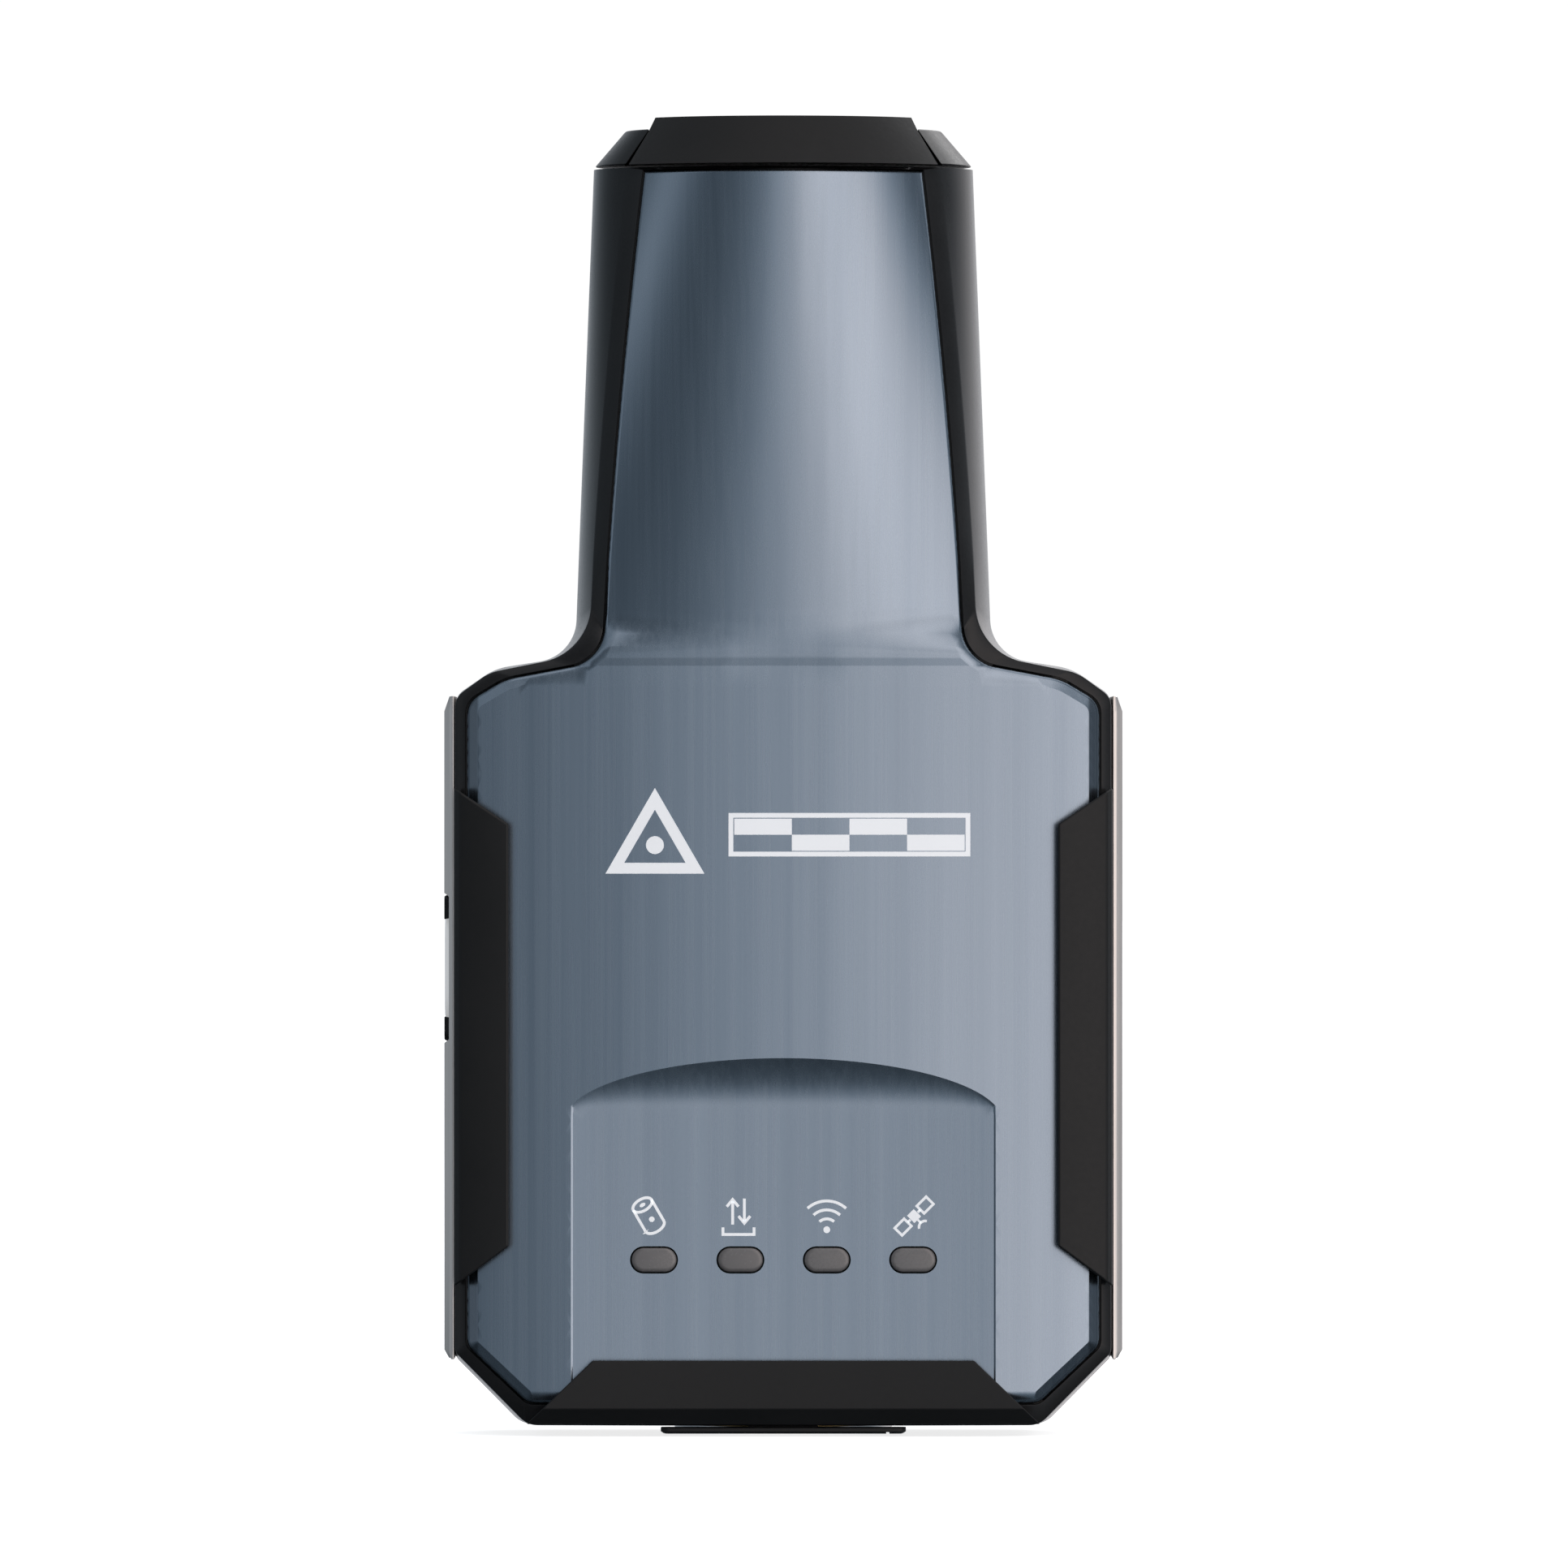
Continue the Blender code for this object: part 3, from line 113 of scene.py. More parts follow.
def neck_radius(z):
    return NECK_R_TOP + (Z_NECK_TOP - z) * NECK_TAPER


def neck_depth(z):
    return NECK_D_TOP + (Z_NECK_TOP - z) * NECK_D_TAPER


# Neck half-width rule, top z, then (x, z, fillet radius) at the foot of the
# neck, the inner and outer shoulder, and the top and foot of the low chamfer.
OUTLINES = {
    "cover": (cover_edge, Z_NECK_TOP - 0.5,
              ((19.1, 82.0, 4.5), (29.5, 80.05, 6.0), (33.5, 77.65, 2.2),
               (33.5, 9.4, 1.5), (27.1, 3.4, 1.5))),
    "crease": (crease_edge, Z_NECK_TOP,
               ((20.6, 82.9, 6.3), (31.2, 80.8, 5.0), (34.8, 78.2, 2.0),
                (34.8, 8.7, 1.0), (27.1, Z_BASE, 2.6))),
    "outer": (neck_radius, Z_NECK_TOP,
              ((22.2, 82.6, 4.6), (30.6, 81.3, 6.0), (BODY_HALF_W, 78.4, 2.0),
               (BODY_HALF_W, 7.9, 1.2), (28.0, Z_BASE, 2.4))),
}


def outline_corners(kind):
    """Corners down the right side as (x, z, fillet radius, segments)."""
    half_width, top_z, rounded = OUTLINES[kind]
    run = Z_NECK_TOP - 3.0 - Z_NECK_RUN_END
    heights = [Z_NECK_TOP - 3.0 - run * i / (N_NECK - 1) for i in range(N_NECK)]
    corners = [(half_width(top_z), top_z, 0.0, 0)]
    corners += [(half_width(z), z, 0.0, 0) for z in heights]
    return corners + [(*c, n) for c, n in zip(rounded, CORNER_SEGMENTS)]


def corner_chain(corners):
    """Corner points with a point on the centre line added at each end."""
    return ([Vector((0.0, corners[0][1]))] + [Vector(c[:2]) for c in corners]
            + [Vector((0.0, corners[-1][1]))])


def offset_corners(corners, offset):
    """Move every straight run outwards by offset (inwards if negative)."""
    chain = corner_chain(corners)
    moved = []
    for i, (x, z, radius, segments) in enumerate(corners, 1):
        before = (chain[i] - chain[i - 1]).normalized()
        after = (chain[i + 1] - chain[i]).normalized()
        normal = Vector((-before.y, before.x))
        mitre = (normal + Vector((-after.y, after.x))).normalized()
        point = chain[i] + mitre * (offset / max(mitre.dot(normal), 0.3))
        if radius > 0:
            turning = before.x * after.y - before.y * after.x
            radius = max(radius + (offset if turning < 0 else -offset), 0.35)
        moved.append((point.x, point.y, radius, segments))
    return moved


def fillet_corners(corners):
    """Points of the right side with an arc at each rounded corner."""
    chain = corner_chain(corners)
    points = []
    for i, (x, z, radius, segments) in enumerate(corners, 1):
        corner = chain[i]
        if radius <= 0:
            points.append((corner.x, corner.y))
            continue
        back = chain[i - 1] - corner
        ahead = chain[i + 1] - corner
        back_len, ahead_len = back.length, ahead.length
        back.normalize()
        ahead.normalize()
        half = math.acos(max(-1.0, min(1.0, back.dot(ahead)))) / 2
        tangent = min(radius / math.tan(half), 0.49 * back_len, 0.49 * ahead_len)
        radius = tangent * math.tan(half)
        centre = corner + (back + ahead).normalized() * (radius / math.sin(half))
        first = corner + back * tangent - centre
        last = corner + ahead * tangent - centre
        start = math.atan2(first.y, first.x)
        end = math.atan2(last.y, last.x)
        sweep = (end - start + math.pi) % (2 * math.pi) - math.pi
        for k in range(segments + 1):
            angle = start + sweep * k / segments
            points.append((centre.x + radius * math.cos(angle),
                           centre.y + radius * math.sin(angle)))
    return points


def outline(kind, offset=0.0):
    corners = offset_corners(outline_corners(kind), offset)
    side = fillet_corners(corners)
    top_x, top_z = corners[0][:2]
    low_z = corners[-1][1]
    top = [(top_x * k / N_TOP, top_z) for k in range(1, N_TOP)]
    right = top + side + [(side[-1][0] / 2, low_z)]
    left = [(-x, z) for x, z in reversed(right)]
    return np.array([(0.0, top_z)] + right + [(0.0, low_z)] + left)


def ring_distance(points, ring):
    """Distance from each point to a closed ring."""
    best = np.full(len(points), 1e9)
    for start, run in zip(ring, np.roll(ring, -1, axis=0) - ring):
        rel = points - start
        t = np.clip((rel @ run) / max(run @ run, 1e-12), 0, 1)
        best = np.minimum(best, np.hypot(*(rel - t[:, None] * run).T))
    return best


def inside_ring(points, ring):
    x, z = points[:, 0], points[:, 1]
    result = np.zeros(len(points), bool)
    for (x0, z0), (x1, z1) in zip(ring, np.roll(ring, -1, axis=0)):
        if z0 == z1:
            continue
        crosses = (z0 > z) != (z1 > z)
        result ^= crosses & (x < x0 + (z - z0) * (x1 - x0) / (z1 - z0))
    return result


# ---------------------------------------------------------------- surfaces
def smoothstep(t):
    t = np.clip(t, 0.0, 1.0)
    return t * t * (3 - 2 * t)


def neck_front(x, z):
    """Front of the neck: its round section opens out steadily towards the body."""
    down = np.clip(Z_NECK_TOP - z, 0.0, 53.0)
    radius = 1.0 / (0.0540 - 0.00111 * down + 0.00000775 * down * down)
    sagitta = radius - np.sqrt(np.maximum(radius * radius - x * x, 0.0))
    return -NECK_D_TOP + NECK_LEAN * down / NECK_LEAN_RUN + sagitta


def neck_rear(x, z):
    rest = 1.0 - (np.abs(x) / neck_radius(z)) ** 2
    return neck_depth(z) * np.sqrt(np.maximum(rest, 0.06))


def recess_top(x):
    half_width, centre_z, height = RECESS_ARC
    return centre_z + height * np.sqrt(np.maximum(1 - (x / half_width) ** 2, 0.0))


COVER_RING = outline("cover")


def cover_y(points):
    """Front surface of the cover: body plateau, neck, valley and recess."""
    x, z = points[:, 0], points[:, 1]
    # the body front is a shallow cylinder about a vertical axis
    body = Y_PLATEAU + x * x / (2 * CROWN_R)
    rim = body + 0.8 * np.clip(1 - ring_distance(points, COVER_RING) / RIM_W, 0, 1)
    crease = np.maximum(Y_PLATEAU + 0.25 + 0.15 * (body - Y_PLATEAU), body + 0.16)
    valley = np.maximum(crease - 0.16 * np.clip((z - Z_VALLEY) / 1.1, 0, 1), rim)
    upper = valley + (neck_front(x, z) - valley) * smoothstep((z - Z_VALLEY - 0.9) / 4.6)
    slope = np.clip((z - Z_PLATEAU_TOP) / (Z_VALLEY - Z_PLATEAU_TOP), 0, 1)
    lower = body + (crease - body) * slope
    y = np.where(z >= Z_VALLEY, upper, np.maximum(lower, rim))
    arch = recess_top(x)
    sink = np.clip((arch - z) / (arch - RECESS_FLOOR_Z), 0, 1)
    wall = np.clip((RECESS_HALF_W - np.abs(x)) / RECESS_WALL, 0, 1)
    recess = body + (RECESS_Y - body) * (1 - (1 - sink) ** 2) * wall
    in_recess = (np.abs(x) < RECESS_HALF_W) & (z < arch)
    return np.where(in_recess, np.maximum(recess, rim), y)


def rounded_cover_y(points):
    """Cover surface with its edge rounded over."""
    near = np.clip(COVER_EDGE_R - ring_distance(points, COVER_RING), 0, COVER_EDGE_R)
    drop = COVER_EDGE_R - np.sqrt(np.maximum(COVER_EDGE_R * COVER_EDGE_R - near * near, 0))
    return cover_y(points) + drop


def cover_normals(points):
    """Outward normals of the rounded cover from central differences."""
    step = 0.015
    shifts = np.array([[step, 0], [-step, 0], [0, step], [0, -step]])
    probes = (points[None, :, :] + shifts[:, None, :]).reshape(-1, 2)
    y = rounded_cover_y(probes).reshape(4, len(points))
    slope_x = (y[0] - y[1]) / (2 * step)
    slope_z = (y[2] - y[3]) / (2 * step)
    normals = np.stack([slope_x, -np.ones(len(points)), slope_z], axis=1)
    return normals / np.linalg.norm(normals, axis=1, keepdims=True)


def rear_y(points):
    x, z = points[:, 0], points[:, 1]
    return Y_REAR + (neck_rear(x, z) - Y_REAR) * smoothstep((z - 78.0) / 11.0)


def stadium(cx, cz, width, height, segments):
    radius = height / 2
    points = []
    for side, start in ((1, -90), (-1, 90)):
        for k in range(segments + 1):
            angle = math.radians(start + 180 * k / segments)
            points.append((cx + side * (width / 2 - radius) + radius * math.cos(angle),
                           cz + radius * math.sin(angle)))
    return np.array(points)


def rounded_rect(low, high, radius, segments, inset=0.0):
    """Rectangle between two corners, its corner arcs shrunk by inset."""
    a_low, a_high = low[0] + radius, high[0] - radius
    b_low, b_high = low[1] + radius, high[1] - radius
    points = []
    for a, b, start in ((a_high, b_high, 0), (a_low, b_high, 90),
                        (a_low, b_low, 180), (a_high, b_low, 270)):
        for k in range(segments + 1):
            angle = math.radians(start + 90 * k / segments)
            points.append((a + (radius - inset) * math.cos(angle),
                           b + (radius - inset) * math.sin(angle)))
    return points


def patch(ring, holes, lines, spacing, keep):
    """Triangulate the inside of a ring along feature lines; returns points, triangles.

    spacing is the grid step in x and z; keep is the clearance between grid
    points and lines as a fraction of the x step.
    """
    points, edges = [], []
    closed = [ring, *holes]
    for i, line in enumerate(closed + lines):
        base, count = len(points), len(line)
        points += [tuple(p) for p in line]
        runs = count if i < len(closed) else count - 1
        edges += [(base + k, base + (k + 1) % count) for k in range(runs)]
    step_x, step_z = spacing
    low, high = ring.min(0), ring.max(0)
    rows = max(int((high[1] - low[1]) / step_z), 1)
    columns = int(high[0] / step_x) + 1
    grid = np.array([((i + 0.5 * (j % 2)) * step_x, low[1] + (high[1] - low[1]) * j / rows)
                     for j in range(1, rows) for i in range(-columns, columns + 1)])
    gap = keep * step_x
    free = inside_ring(grid, ring) & (ring_distance(grid, ring) > gap)
    for hole in holes:
        free &= ~inside_ring(grid, hole) & (ring_distance(grid, hole) > gap)
    for line in lines:
        line = np.array(line)
        free &= ring_distance(grid, np.vstack([line, line[::-1]])) > gap
    points += [tuple(p) for p in grid[free]]
    result = delaunay_2d_cdt([Vector(p) for p in points], edges, [], 0, 1e-5)
    points = np.array([tuple(p) for p in result[0]])
    triangles = np.array([tuple(t) for t in result[2]])
    middles = points[triangles].mean(axis=1)
    good = inside_ring(middles, ring)
    for hole in holes:
        good &= ~inside_ring(middles, hole)
    return points, triangles[good]


# ------------------------------------------------------------ mesh helpers
def bridge(solid, ring_a, ring_b):
    count = len(ring_a)
    for i in range(count):
        j = (i + 1) % count
        solid.faces.new((ring_a[i], ring_a[j], ring_b[j], ring_b[i]))


def round_corner(before, corner, after, reach, segments):
    """Loops that replace a corner loop by a soft curve."""
    def towards(other):
        run = other - corner
        length = np.linalg.norm(run, axis=1, keepdims=True)
        return corner + run * np.minimum(0.49, reach / np.maximum(length, 1e-9))

    start, end = towards(before), towards(after)
    loops = []
    for k in range(segments + 1):
        t = k / segments
        loops.append(start * (1 - t) ** 2 + corner * 2 * t * (1 - t) + end * t * t)
    return loops


def loop3(ring, y):
    """(x, z) ring placed at depth y, one value or one per point."""
    return np.stack([ring[:, 0], np.broadcast_to(y, (len(ring),)), ring[:, 1]], axis=1)


def add_object(name, data):
    obj = bpy.data.objects.new(name, data)
    bpy.context.scene.collection.objects.link(obj)
    return obj


def shade(mesh, smooth):
    mesh.shade_smooth()
    mesh.set_sharp_from_angle(angle=math.radians(smooth))


def finish_solid(name, solid, smooth=35.0):
    """Turn a bmesh in millimetres into an object."""
    bmesh.ops.recalc_face_normals(solid, faces=solid.faces)
    solid.transform(Matrix.Scale(MM, 4))
    mesh = bpy.data.meshes.new(name)
    solid.to_mesh(mesh)
    solid.free()
    shade(mesh, smooth)
    return add_object(name, mesh)


def bake(obj, smooth=35.0):
    """Replace the object's mesh by its evaluated one and drop the modifiers."""
    depsgraph = bpy.context.evaluated_depsgraph_get()
    mesh = bpy.data.meshes.new_from_object(obj.evaluated_get(depsgraph))
    obj.modifiers.clear()
    obj.data = mesh
    solid = bmesh.new()
    solid.from_mesh(mesh)
    bmesh.ops.remove_doubles(solid, verts=solid.verts, dist=1e-7)
    bmesh.ops.dissolve_degenerate(solid, edges=solid.edges, dist=1e-7)
    solid.to_mesh(mesh)
    solid.free()
    shade(mesh, smooth)


def cut(obj, tools, operation="DIFFERENCE", smooth=35.0):
    for tool in tools:
        boolean = obj.modifiers.new("b", "BOOLEAN")
        boolean.object = tool
        boolean.operation = operation
        boolean.solver = "EXACT"
    bake(obj, smooth)
    for tool in tools:
        bpy.data.objects.remove(tool, do_unlink=True)
    return obj


def bevel(obj, width, segments=3, angle=30.0):
    modifier = obj.modifiers.new("bevel", "BEVEL")
    modifier.width = width * MM
    modifier.segments = segments
    modifier.limit_method = "ANGLE"
    modifier.angle_limit = math.radians(angle)
    modifier.harden_normals = True
    return obj


def box(name, low, high):
    solid = bmesh.new()
    bmesh.ops.create_cube(solid, size=1.0)
    bmesh.ops.scale(solid, vec=[b - a for a, b in zip(low, high)], verts=solid.verts)
    bmesh.ops.translate(solid, vec=[(b + a) / 2 for a, b in zip(low, high)],
                        verts=solid.verts)
    return finish_solid(name, solid)


AXIS_TURN = {"Z": Matrix.Identity(4), "Y": Matrix.Rotation(math.radians(-90), 4, "X"),
             "X": Matrix.Rotation(math.radians(90), 4, "Y")}


def cylinder(name, radius, span, axis, centre, segments, end_radius=None):
    """Cylinder or cone over span along an axis; centre holds the other two coordinates."""
    start, end = span
    solid = bmesh.new()
    bmesh.ops.create_cone(solid, cap_ends=True, segments=segments, radius1=radius,
                          radius2=end_radius or radius, depth=end - start)
    bmesh.ops.translate(solid, vec=(0, 0, (start + end) / 2), verts=solid.verts)
    solid.transform(AXIS_TURN[axis])
    shift = list(centre)
    shift.insert("XYZ".index(axis), 0)
    bmesh.ops.translate(solid, vec=shift, verts=solid.verts)
    return finish_solid(name, solid)


def loft(name, rows, smooth=35.0, cap=True):
    """Closed solid through loops of 3-D points."""
    solid = bmesh.new()
    rings = [[solid.verts.new(tuple(p)) for p in row] for row in rows]
    for ring_a, ring_b in zip(rings, rings[1:]):
        bridge(solid, ring_a, ring_b)
    if cap:
        solid.faces.new(rings[0][::-1])
        solid.faces.new(rings[-1])
    else:
        bridge(solid, rings[-1], rings[0])
    return finish_solid(name, solid, smooth)


def turned(name, profile, smooth):
    """Ring turned round the pole axis from (radius, height) pairs."""
    segments = 96
    angles = [2 * math.pi * k / segments for k in range(segments)]
    rows = [[(radius * math.cos(a), FOOT_Y + radius * math.sin(a), z) for a in angles]
            for radius, z in profile]
    return loft(name, rows, smooth, cap=False)


# ------------------------------------------------------------- shader helpers
MATERIALS = {}
NOISE_BAND = (0.3, 0.7)    # range that most noise values fall in


class Graph:
    """Short calls for adding nodes to a shader tree."""

    def __init__(self, tree):
        self.tree = tree
        self.coord = self.node("ShaderNodeTexCoord")

    def node(self, kind, **props):
        node = self.tree.nodes.new(kind)
        for key, value in props.items():
            setattr(node, key, value)
        return node

    def link(self, source, target):
        self.tree.links.new(source, target)

    def feed(self, socket, value):
        """Set a socket to a number or colour, or link it to an output."""
        if isinstance(value, (int, float)):
            socket.default_value = value
        elif isinstance(value, tuple):
            socket.default_value = (*value, 1.0)
        else:
            self.link(value, socket)

    def mapping(self, scale):
        node = self.node("ShaderNodeMapping")
        node.inputs["Scale"].default_value = scale
        self.link(self.coord.outputs["Object"], node.inputs["Vector"])
        return node.outputs["Vector"]

    def noise(self, scale, detail, rough, vector=None):
        node = self.node("ShaderNodeTexNoise")
        node.inputs["Scale"].default_value = scale
        node.inputs["Detail"].default_value = detail
        node.inputs["Roughness"].default_value = rough
        self.link(vector or self.coord.outputs["Object"], node.inputs["Vector"])
        return node.outputs["Fac"]

    def ramp(self, fac, stops, interpolation="LINEAR"):
        """Colour ramp from (position, colour) stops."""
        node = self.node("ShaderNodeValToRGB")
        elements = node.color_ramp.elements
        while len(elements) < len(stops):
            elements.new(0.5)
        for element, (position, colour) in zip(elements, stops):
            element.position = position
            element.color = (*colour, 1.0)
        node.color_ramp.interpolation = interpolation
        self.link(fac, node.inputs["Fac"])
        return node.outputs["Color"]

    def math(self, operation, *values):
        node = self.node("ShaderNodeMath", operation=operation)
        for socket, value in zip(node.inputs, values):
            self.feed(socket, value)
        return node.outputs[0]

    def weighted(self, *terms):
        """Sum of (value, weight) products."""
        total = None
        for value, weight in terms:
            part = self.math("MULTIPLY", value, weight)
            total = part if total is None else self.math("ADD", total, part)
        return total

    def remap(self, value, to, source=NOISE_BAND, **props):
        node = self.node("ShaderNodeMapRange", **props)
        for key, number in zip(("From Min", "From Max", "To Min", "To Max"), (*source, *to)):
            node.inputs[key].default_value = number
        self.link(value, node.inputs["Value"])
        return node.outputs["Result"]

    def mix(self, fac, colour_a, colour_b):
        node = self.node("ShaderNodeMix", data_type="RGBA", blend_type="MIX")
        for index, value in ((0, fac), (6, colour_a), (7, colour_b)):
            self.feed(node.inputs[index], value)
        return node.outputs[2]

    def split(self, vector):
        node = self.node("ShaderNodeSeparateXYZ")
        self.link(vector, node.inputs[0])
        return node.outputs

    def bump(self, height, strength, distance):
        node = self.node("ShaderNodeBump")
        node.inputs["Strength"].default_value = strength
        node.inputs["Distance"].default_value = distance
        self.link(height, node.inputs["Height"])
        return node.outputs["Normal"]


class Material(Graph):
    """Graph of a new named material, kept in MATERIALS."""

    def __init__(self, name):
        material = bpy.data.materials.new(name)
        material.use_nodes = True
        MATERIALS[name] = material
        super().__init__(material.node_tree)
        self.bsdf = self.tree.nodes["Principled BSDF"]

    def put(self, **values):
        for key, value in values.items():
            self.feed(self.bsdf.inputs[key.replace("_", " ")], value)


# ---------------------------------------------------------------- materials
def moulded(name, dark, light, rough, grain, bump, edge_tint=None, coat=0.0, spec=0.5,
            glow=None):
    """Moulded plastic or rubber: fine grain, slow tone changes, worn edges.

    glow is an emission colour and strength: painted light, a glow on a part that is no lamp.
    """
    mat = Material(name)
    slow = mat.noise(scale=60.0, detail=3.0, rough=0.6)
    fine = mat.noise(scale=grain, detail=2.0, rough=0.6)
    cell = mat.node("ShaderNodeTexVoronoi")
    cell.inputs["Scale"].default_value = grain * 0.7
    mat.link(mat.coord.outputs["Object"], cell.inputs["Vector"])
    colour = mat.ramp(mat.weighted((slow, 0.75), (fine, 0.25)), [(0.35, dark), (0.68, light)])
    if edge_tint:
        pointiness = mat.node("ShaderNodeNewGeometry").outputs["Pointiness"]
        edge = mat.remap(pointiness, to=(0.0, 1.0), source=(0.52, 0.6))
        colour = mat.mix(mat.math("MULTIPLY", edge, 0.35), colour, edge_tint)
    roughness = mat.remap(mat.weighted((slow, 0.5), (fine, 0.5)), to=rough)
    height = mat.weighted((cell.outputs["Distance"], 0.6), (fine, 0.5))
    mat.put(Base_Color=colour, Roughness=roughness, Specular_IOR_Level=spec,
            Normal=mat.bump(height, strength=bump, distance=0.00005))
    if coat:
        mat.put(Coat_Weight=coat, Coat_Roughness=0.25)
    # painted light: emission that brightens a part that is no lamp
    if glow:
        mat.put(Emission_Color=glow[0], Emission_Strength=glow[1])


def shades(base, low, high):
    """Darker and lighter versions of a colour."""
    return tuple(c * low for c in base), tuple(min(1.0, c * high) for c in base)


def metal(name, base, rough, stretch, metallic=1.0):
    """Metal with lines drawn along the axis whose scale is smallest."""
    mat = Material(name)
    lines = mat.noise(scale=1.0, detail=4.0, rough=0.65, vector=mat.mapping(stretch))
    slow = mat.noise(scale=45.0, detail=2.0, rough=0.5)
    dark, light = shades(base, low=0.88, high=1.12)
    colour = mat.ramp(mat.weighted((lines, 0.6), (slow, 0.4)), [(0.35, dark), (0.65, light)])
    mat.put(Base_Color=colour, Metallic=metallic, Roughness=mat.remap(lines, to=rough),
            Normal=mat.bump(lines, strength=0.05, distance=0.00004))


def turned_metal(name, base):
    """Metal with concentric tool lines round the pole axis."""
    mat = Material(name)
    position = mat.split(mat.coord.outputs["Object"])
    off_x = mat.math("SUBTRACT", position[0], 0.0)
    off_y = mat.math("SUBTRACT", position[1], FOOT_Y * MM)
    radius = mat.math("SQRT", mat.weighted((off_x, off_x), (off_y, off_y)))
    rings = mat.node("ShaderNodeCombineXYZ")
    mat.link(mat.math("MULTIPLY", radius, 9000.0), rings.inputs[0])
    mat.link(mat.math("MULTIPLY", position[2], 5000.0), rings.inputs[1])
    lines = mat.noise(scale=1.0, detail=2.0, rough=0.6, vector=rings.outputs[0])
    slow = mat.noise(scale=120.0, detail=3.0, rough=0.6)
    dark, light = shades(base, low=0.82, high=1.1)
    colour = mat.ramp(mat.weighted((lines, 0.6), (slow, 0.4)), [(0.3, dark), (0.7, light)])
    mat.put(Base_Color=colour, Metallic=1.0, Roughness=mat.remap(lines, to=(0.22, 0.42)),
            Normal=mat.bump(lines, strength=0.12, distance=0.00003))


def cover_paint():
    """Satin metallic blue-grey with fine vertical brushing under the lacquer, and painted shade
    on the chamfered long edges.
    """
    dark, light = (0.211, 0.259, 0.314), (0.280, 0.333, 0.392)
    # the second colour is the painted shade of the chamfered long edges
    cloud_tint, edge_tint = (0.26, 0.31, 0.37), (0.092, 0.112, 0.136)
    mat = Material("cover_paint")
    lines = mat.noise(scale=1.0, detail=5.0, rough=0.7,
                      vector=mat.mapping((1500.0, 1500.0, 9.0)))
    broad = mat.noise(scale=1.0, detail=2.0, rough=0.5,
                      vector=mat.mapping((360.0, 360.0, 4.0)))
    flake = mat.noise(scale=9000.0, detail=1.0, rough=0.5)
    slow = mat.noise(scale=18.0, detail=2.0, rough=0.5)
    colour = mat.ramp(mat.weighted((lines, 0.4), (broad, 0.4), (flake, 0.2)),
                      [(0.30, dark), (0.70, light)])
    cloud = mat.remap(slow, to=(0.0, 1.0), source=(0.35, 0.65))
    colour = mat.mix(mat.math("MULTIPLY", cloud, 0.08), colour, cloud_tint)
    # painted shade: the colour turns darker on the chamfered long edges, standing in for the
    # dark reflections there
    off_centre = mat.math("ABSOLUTE", mat.split(mat.coord.outputs["Object"])[0])
    edge = mat.remap(off_centre, to=(0.0, 0.80), source=(32.25 * MM, 32.5 * MM))
    colour = mat.mix(edge, colour, edge_tint)
    height = mat.weighted((lines, 0.7), (flake, 0.3))
    mat.put(Base_Color=colour, Metallic=0.93, Roughness=mat.remap(lines, to=(0.22, 0.31)),
            Normal=mat.bump(height, strength=0.025, distance=0.00003),
            Coat_Weight=0.18, Coat_Roughness=0.22)


cover_paint()
moulded("black_plastic", dark=(0.0140, 0.0140, 0.0146), light=(0.0215, 0.0215, 0.0222),
        rough=(0.19, 0.27), grain=2600.0, bump=0.04, edge_tint=(0.028, 0.028, 0.03), spec=0.21)
# painted shade: a darker copy of the black plastic for the top cap, darkened against the bright
# reflections on its slanted ends
moulded("cap_plastic_painted_shade", dark=(0.0055, 0.0055, 0.0057), light=(0.0100, 0.0100, 0.0102),
        rough=(0.24, 0.34), grain=2600.0, bump=0.05, edge_tint=(0.02, 0.02, 0.02), spec=0.045)
# painted light: a lighter copy of the black rubber for the crown pad, standing in for the light
# its up-facing faces catch from above
moulded("crown_rubber_painted_light", dark=(0.0125, 0.0125, 0.0127), light=(0.0190, 0.0190, 0.0192),
        rough=(0.60, 0.74), grain=1900.0, bump=0.14, edge_tint=(0.035, 0.035, 0.035), spec=0.22)
moulded("black_rubber", dark=(0.0056, 0.0056, 0.0058), light=(0.0098, 0.0098, 0.0100),
        rough=(0.50, 0.62), grain=1900.0, bump=0.14, edge_tint=(0.020, 0.020, 0.020), spec=0.34)
metal("rail_trim", base=(0.645, 0.605, 0.575), rough=(0.30, 0.42),
      stretch=(2200.0, 2200.0, 20.0), metallic=0.85)
# painted light: the white key glows to look brighter, though it holds no lamp
moulded("button_white", dark=(0.80, 0.80, 0.80), light=(0.88, 0.88, 0.88),
        rough=(0.30, 0.40), grain=2600.0, bump=0.05, glow=((1.0, 1.0, 1.0), 0.36))
moulded("lens_grey", dark=(0.135, 0.128, 0.127), light=(0.165, 0.158, 0.157),
        rough=(0.22, 0.32), grain=3000.0, bump=0.03, coat=0.4)
turned_metal("aluminium", base=(0.72, 0.72, 0.73))
turned_metal("brass", base=(0.76, 0.57, 0.27))
metal("steel", base=(0.58, 0.58, 0.60), rough=(0.22, 0.36), stretch=(1800.0, 1800.0, 1800.0))
moulded("pcb_green", dark=(0.012, 0.11, 0.045), light=(0.02, 0.16, 0.07),
        rough=(0.35, 0.45), grain=900.0, bump=0.05, coat=0.3)
metal("shield", base=(0.68, 0.68, 0.68), rough=(0.30, 0.45), stretch=(60.0, 900.0, 900.0))
moulded("white_part", dark=(0.72, 0.72, 0.70), light=(0.80, 0.80, 0.78),
        rough=(0.45, 0.55), grain=1500.0, bump=0.05)
moulded("cell_wrap", dark=(0.02, 0.09, 0.24), light=(0.03, 0.13, 0.32),
        rough=(0.25, 0.35), grain=700.0, bump=0.03, coat=0.5)
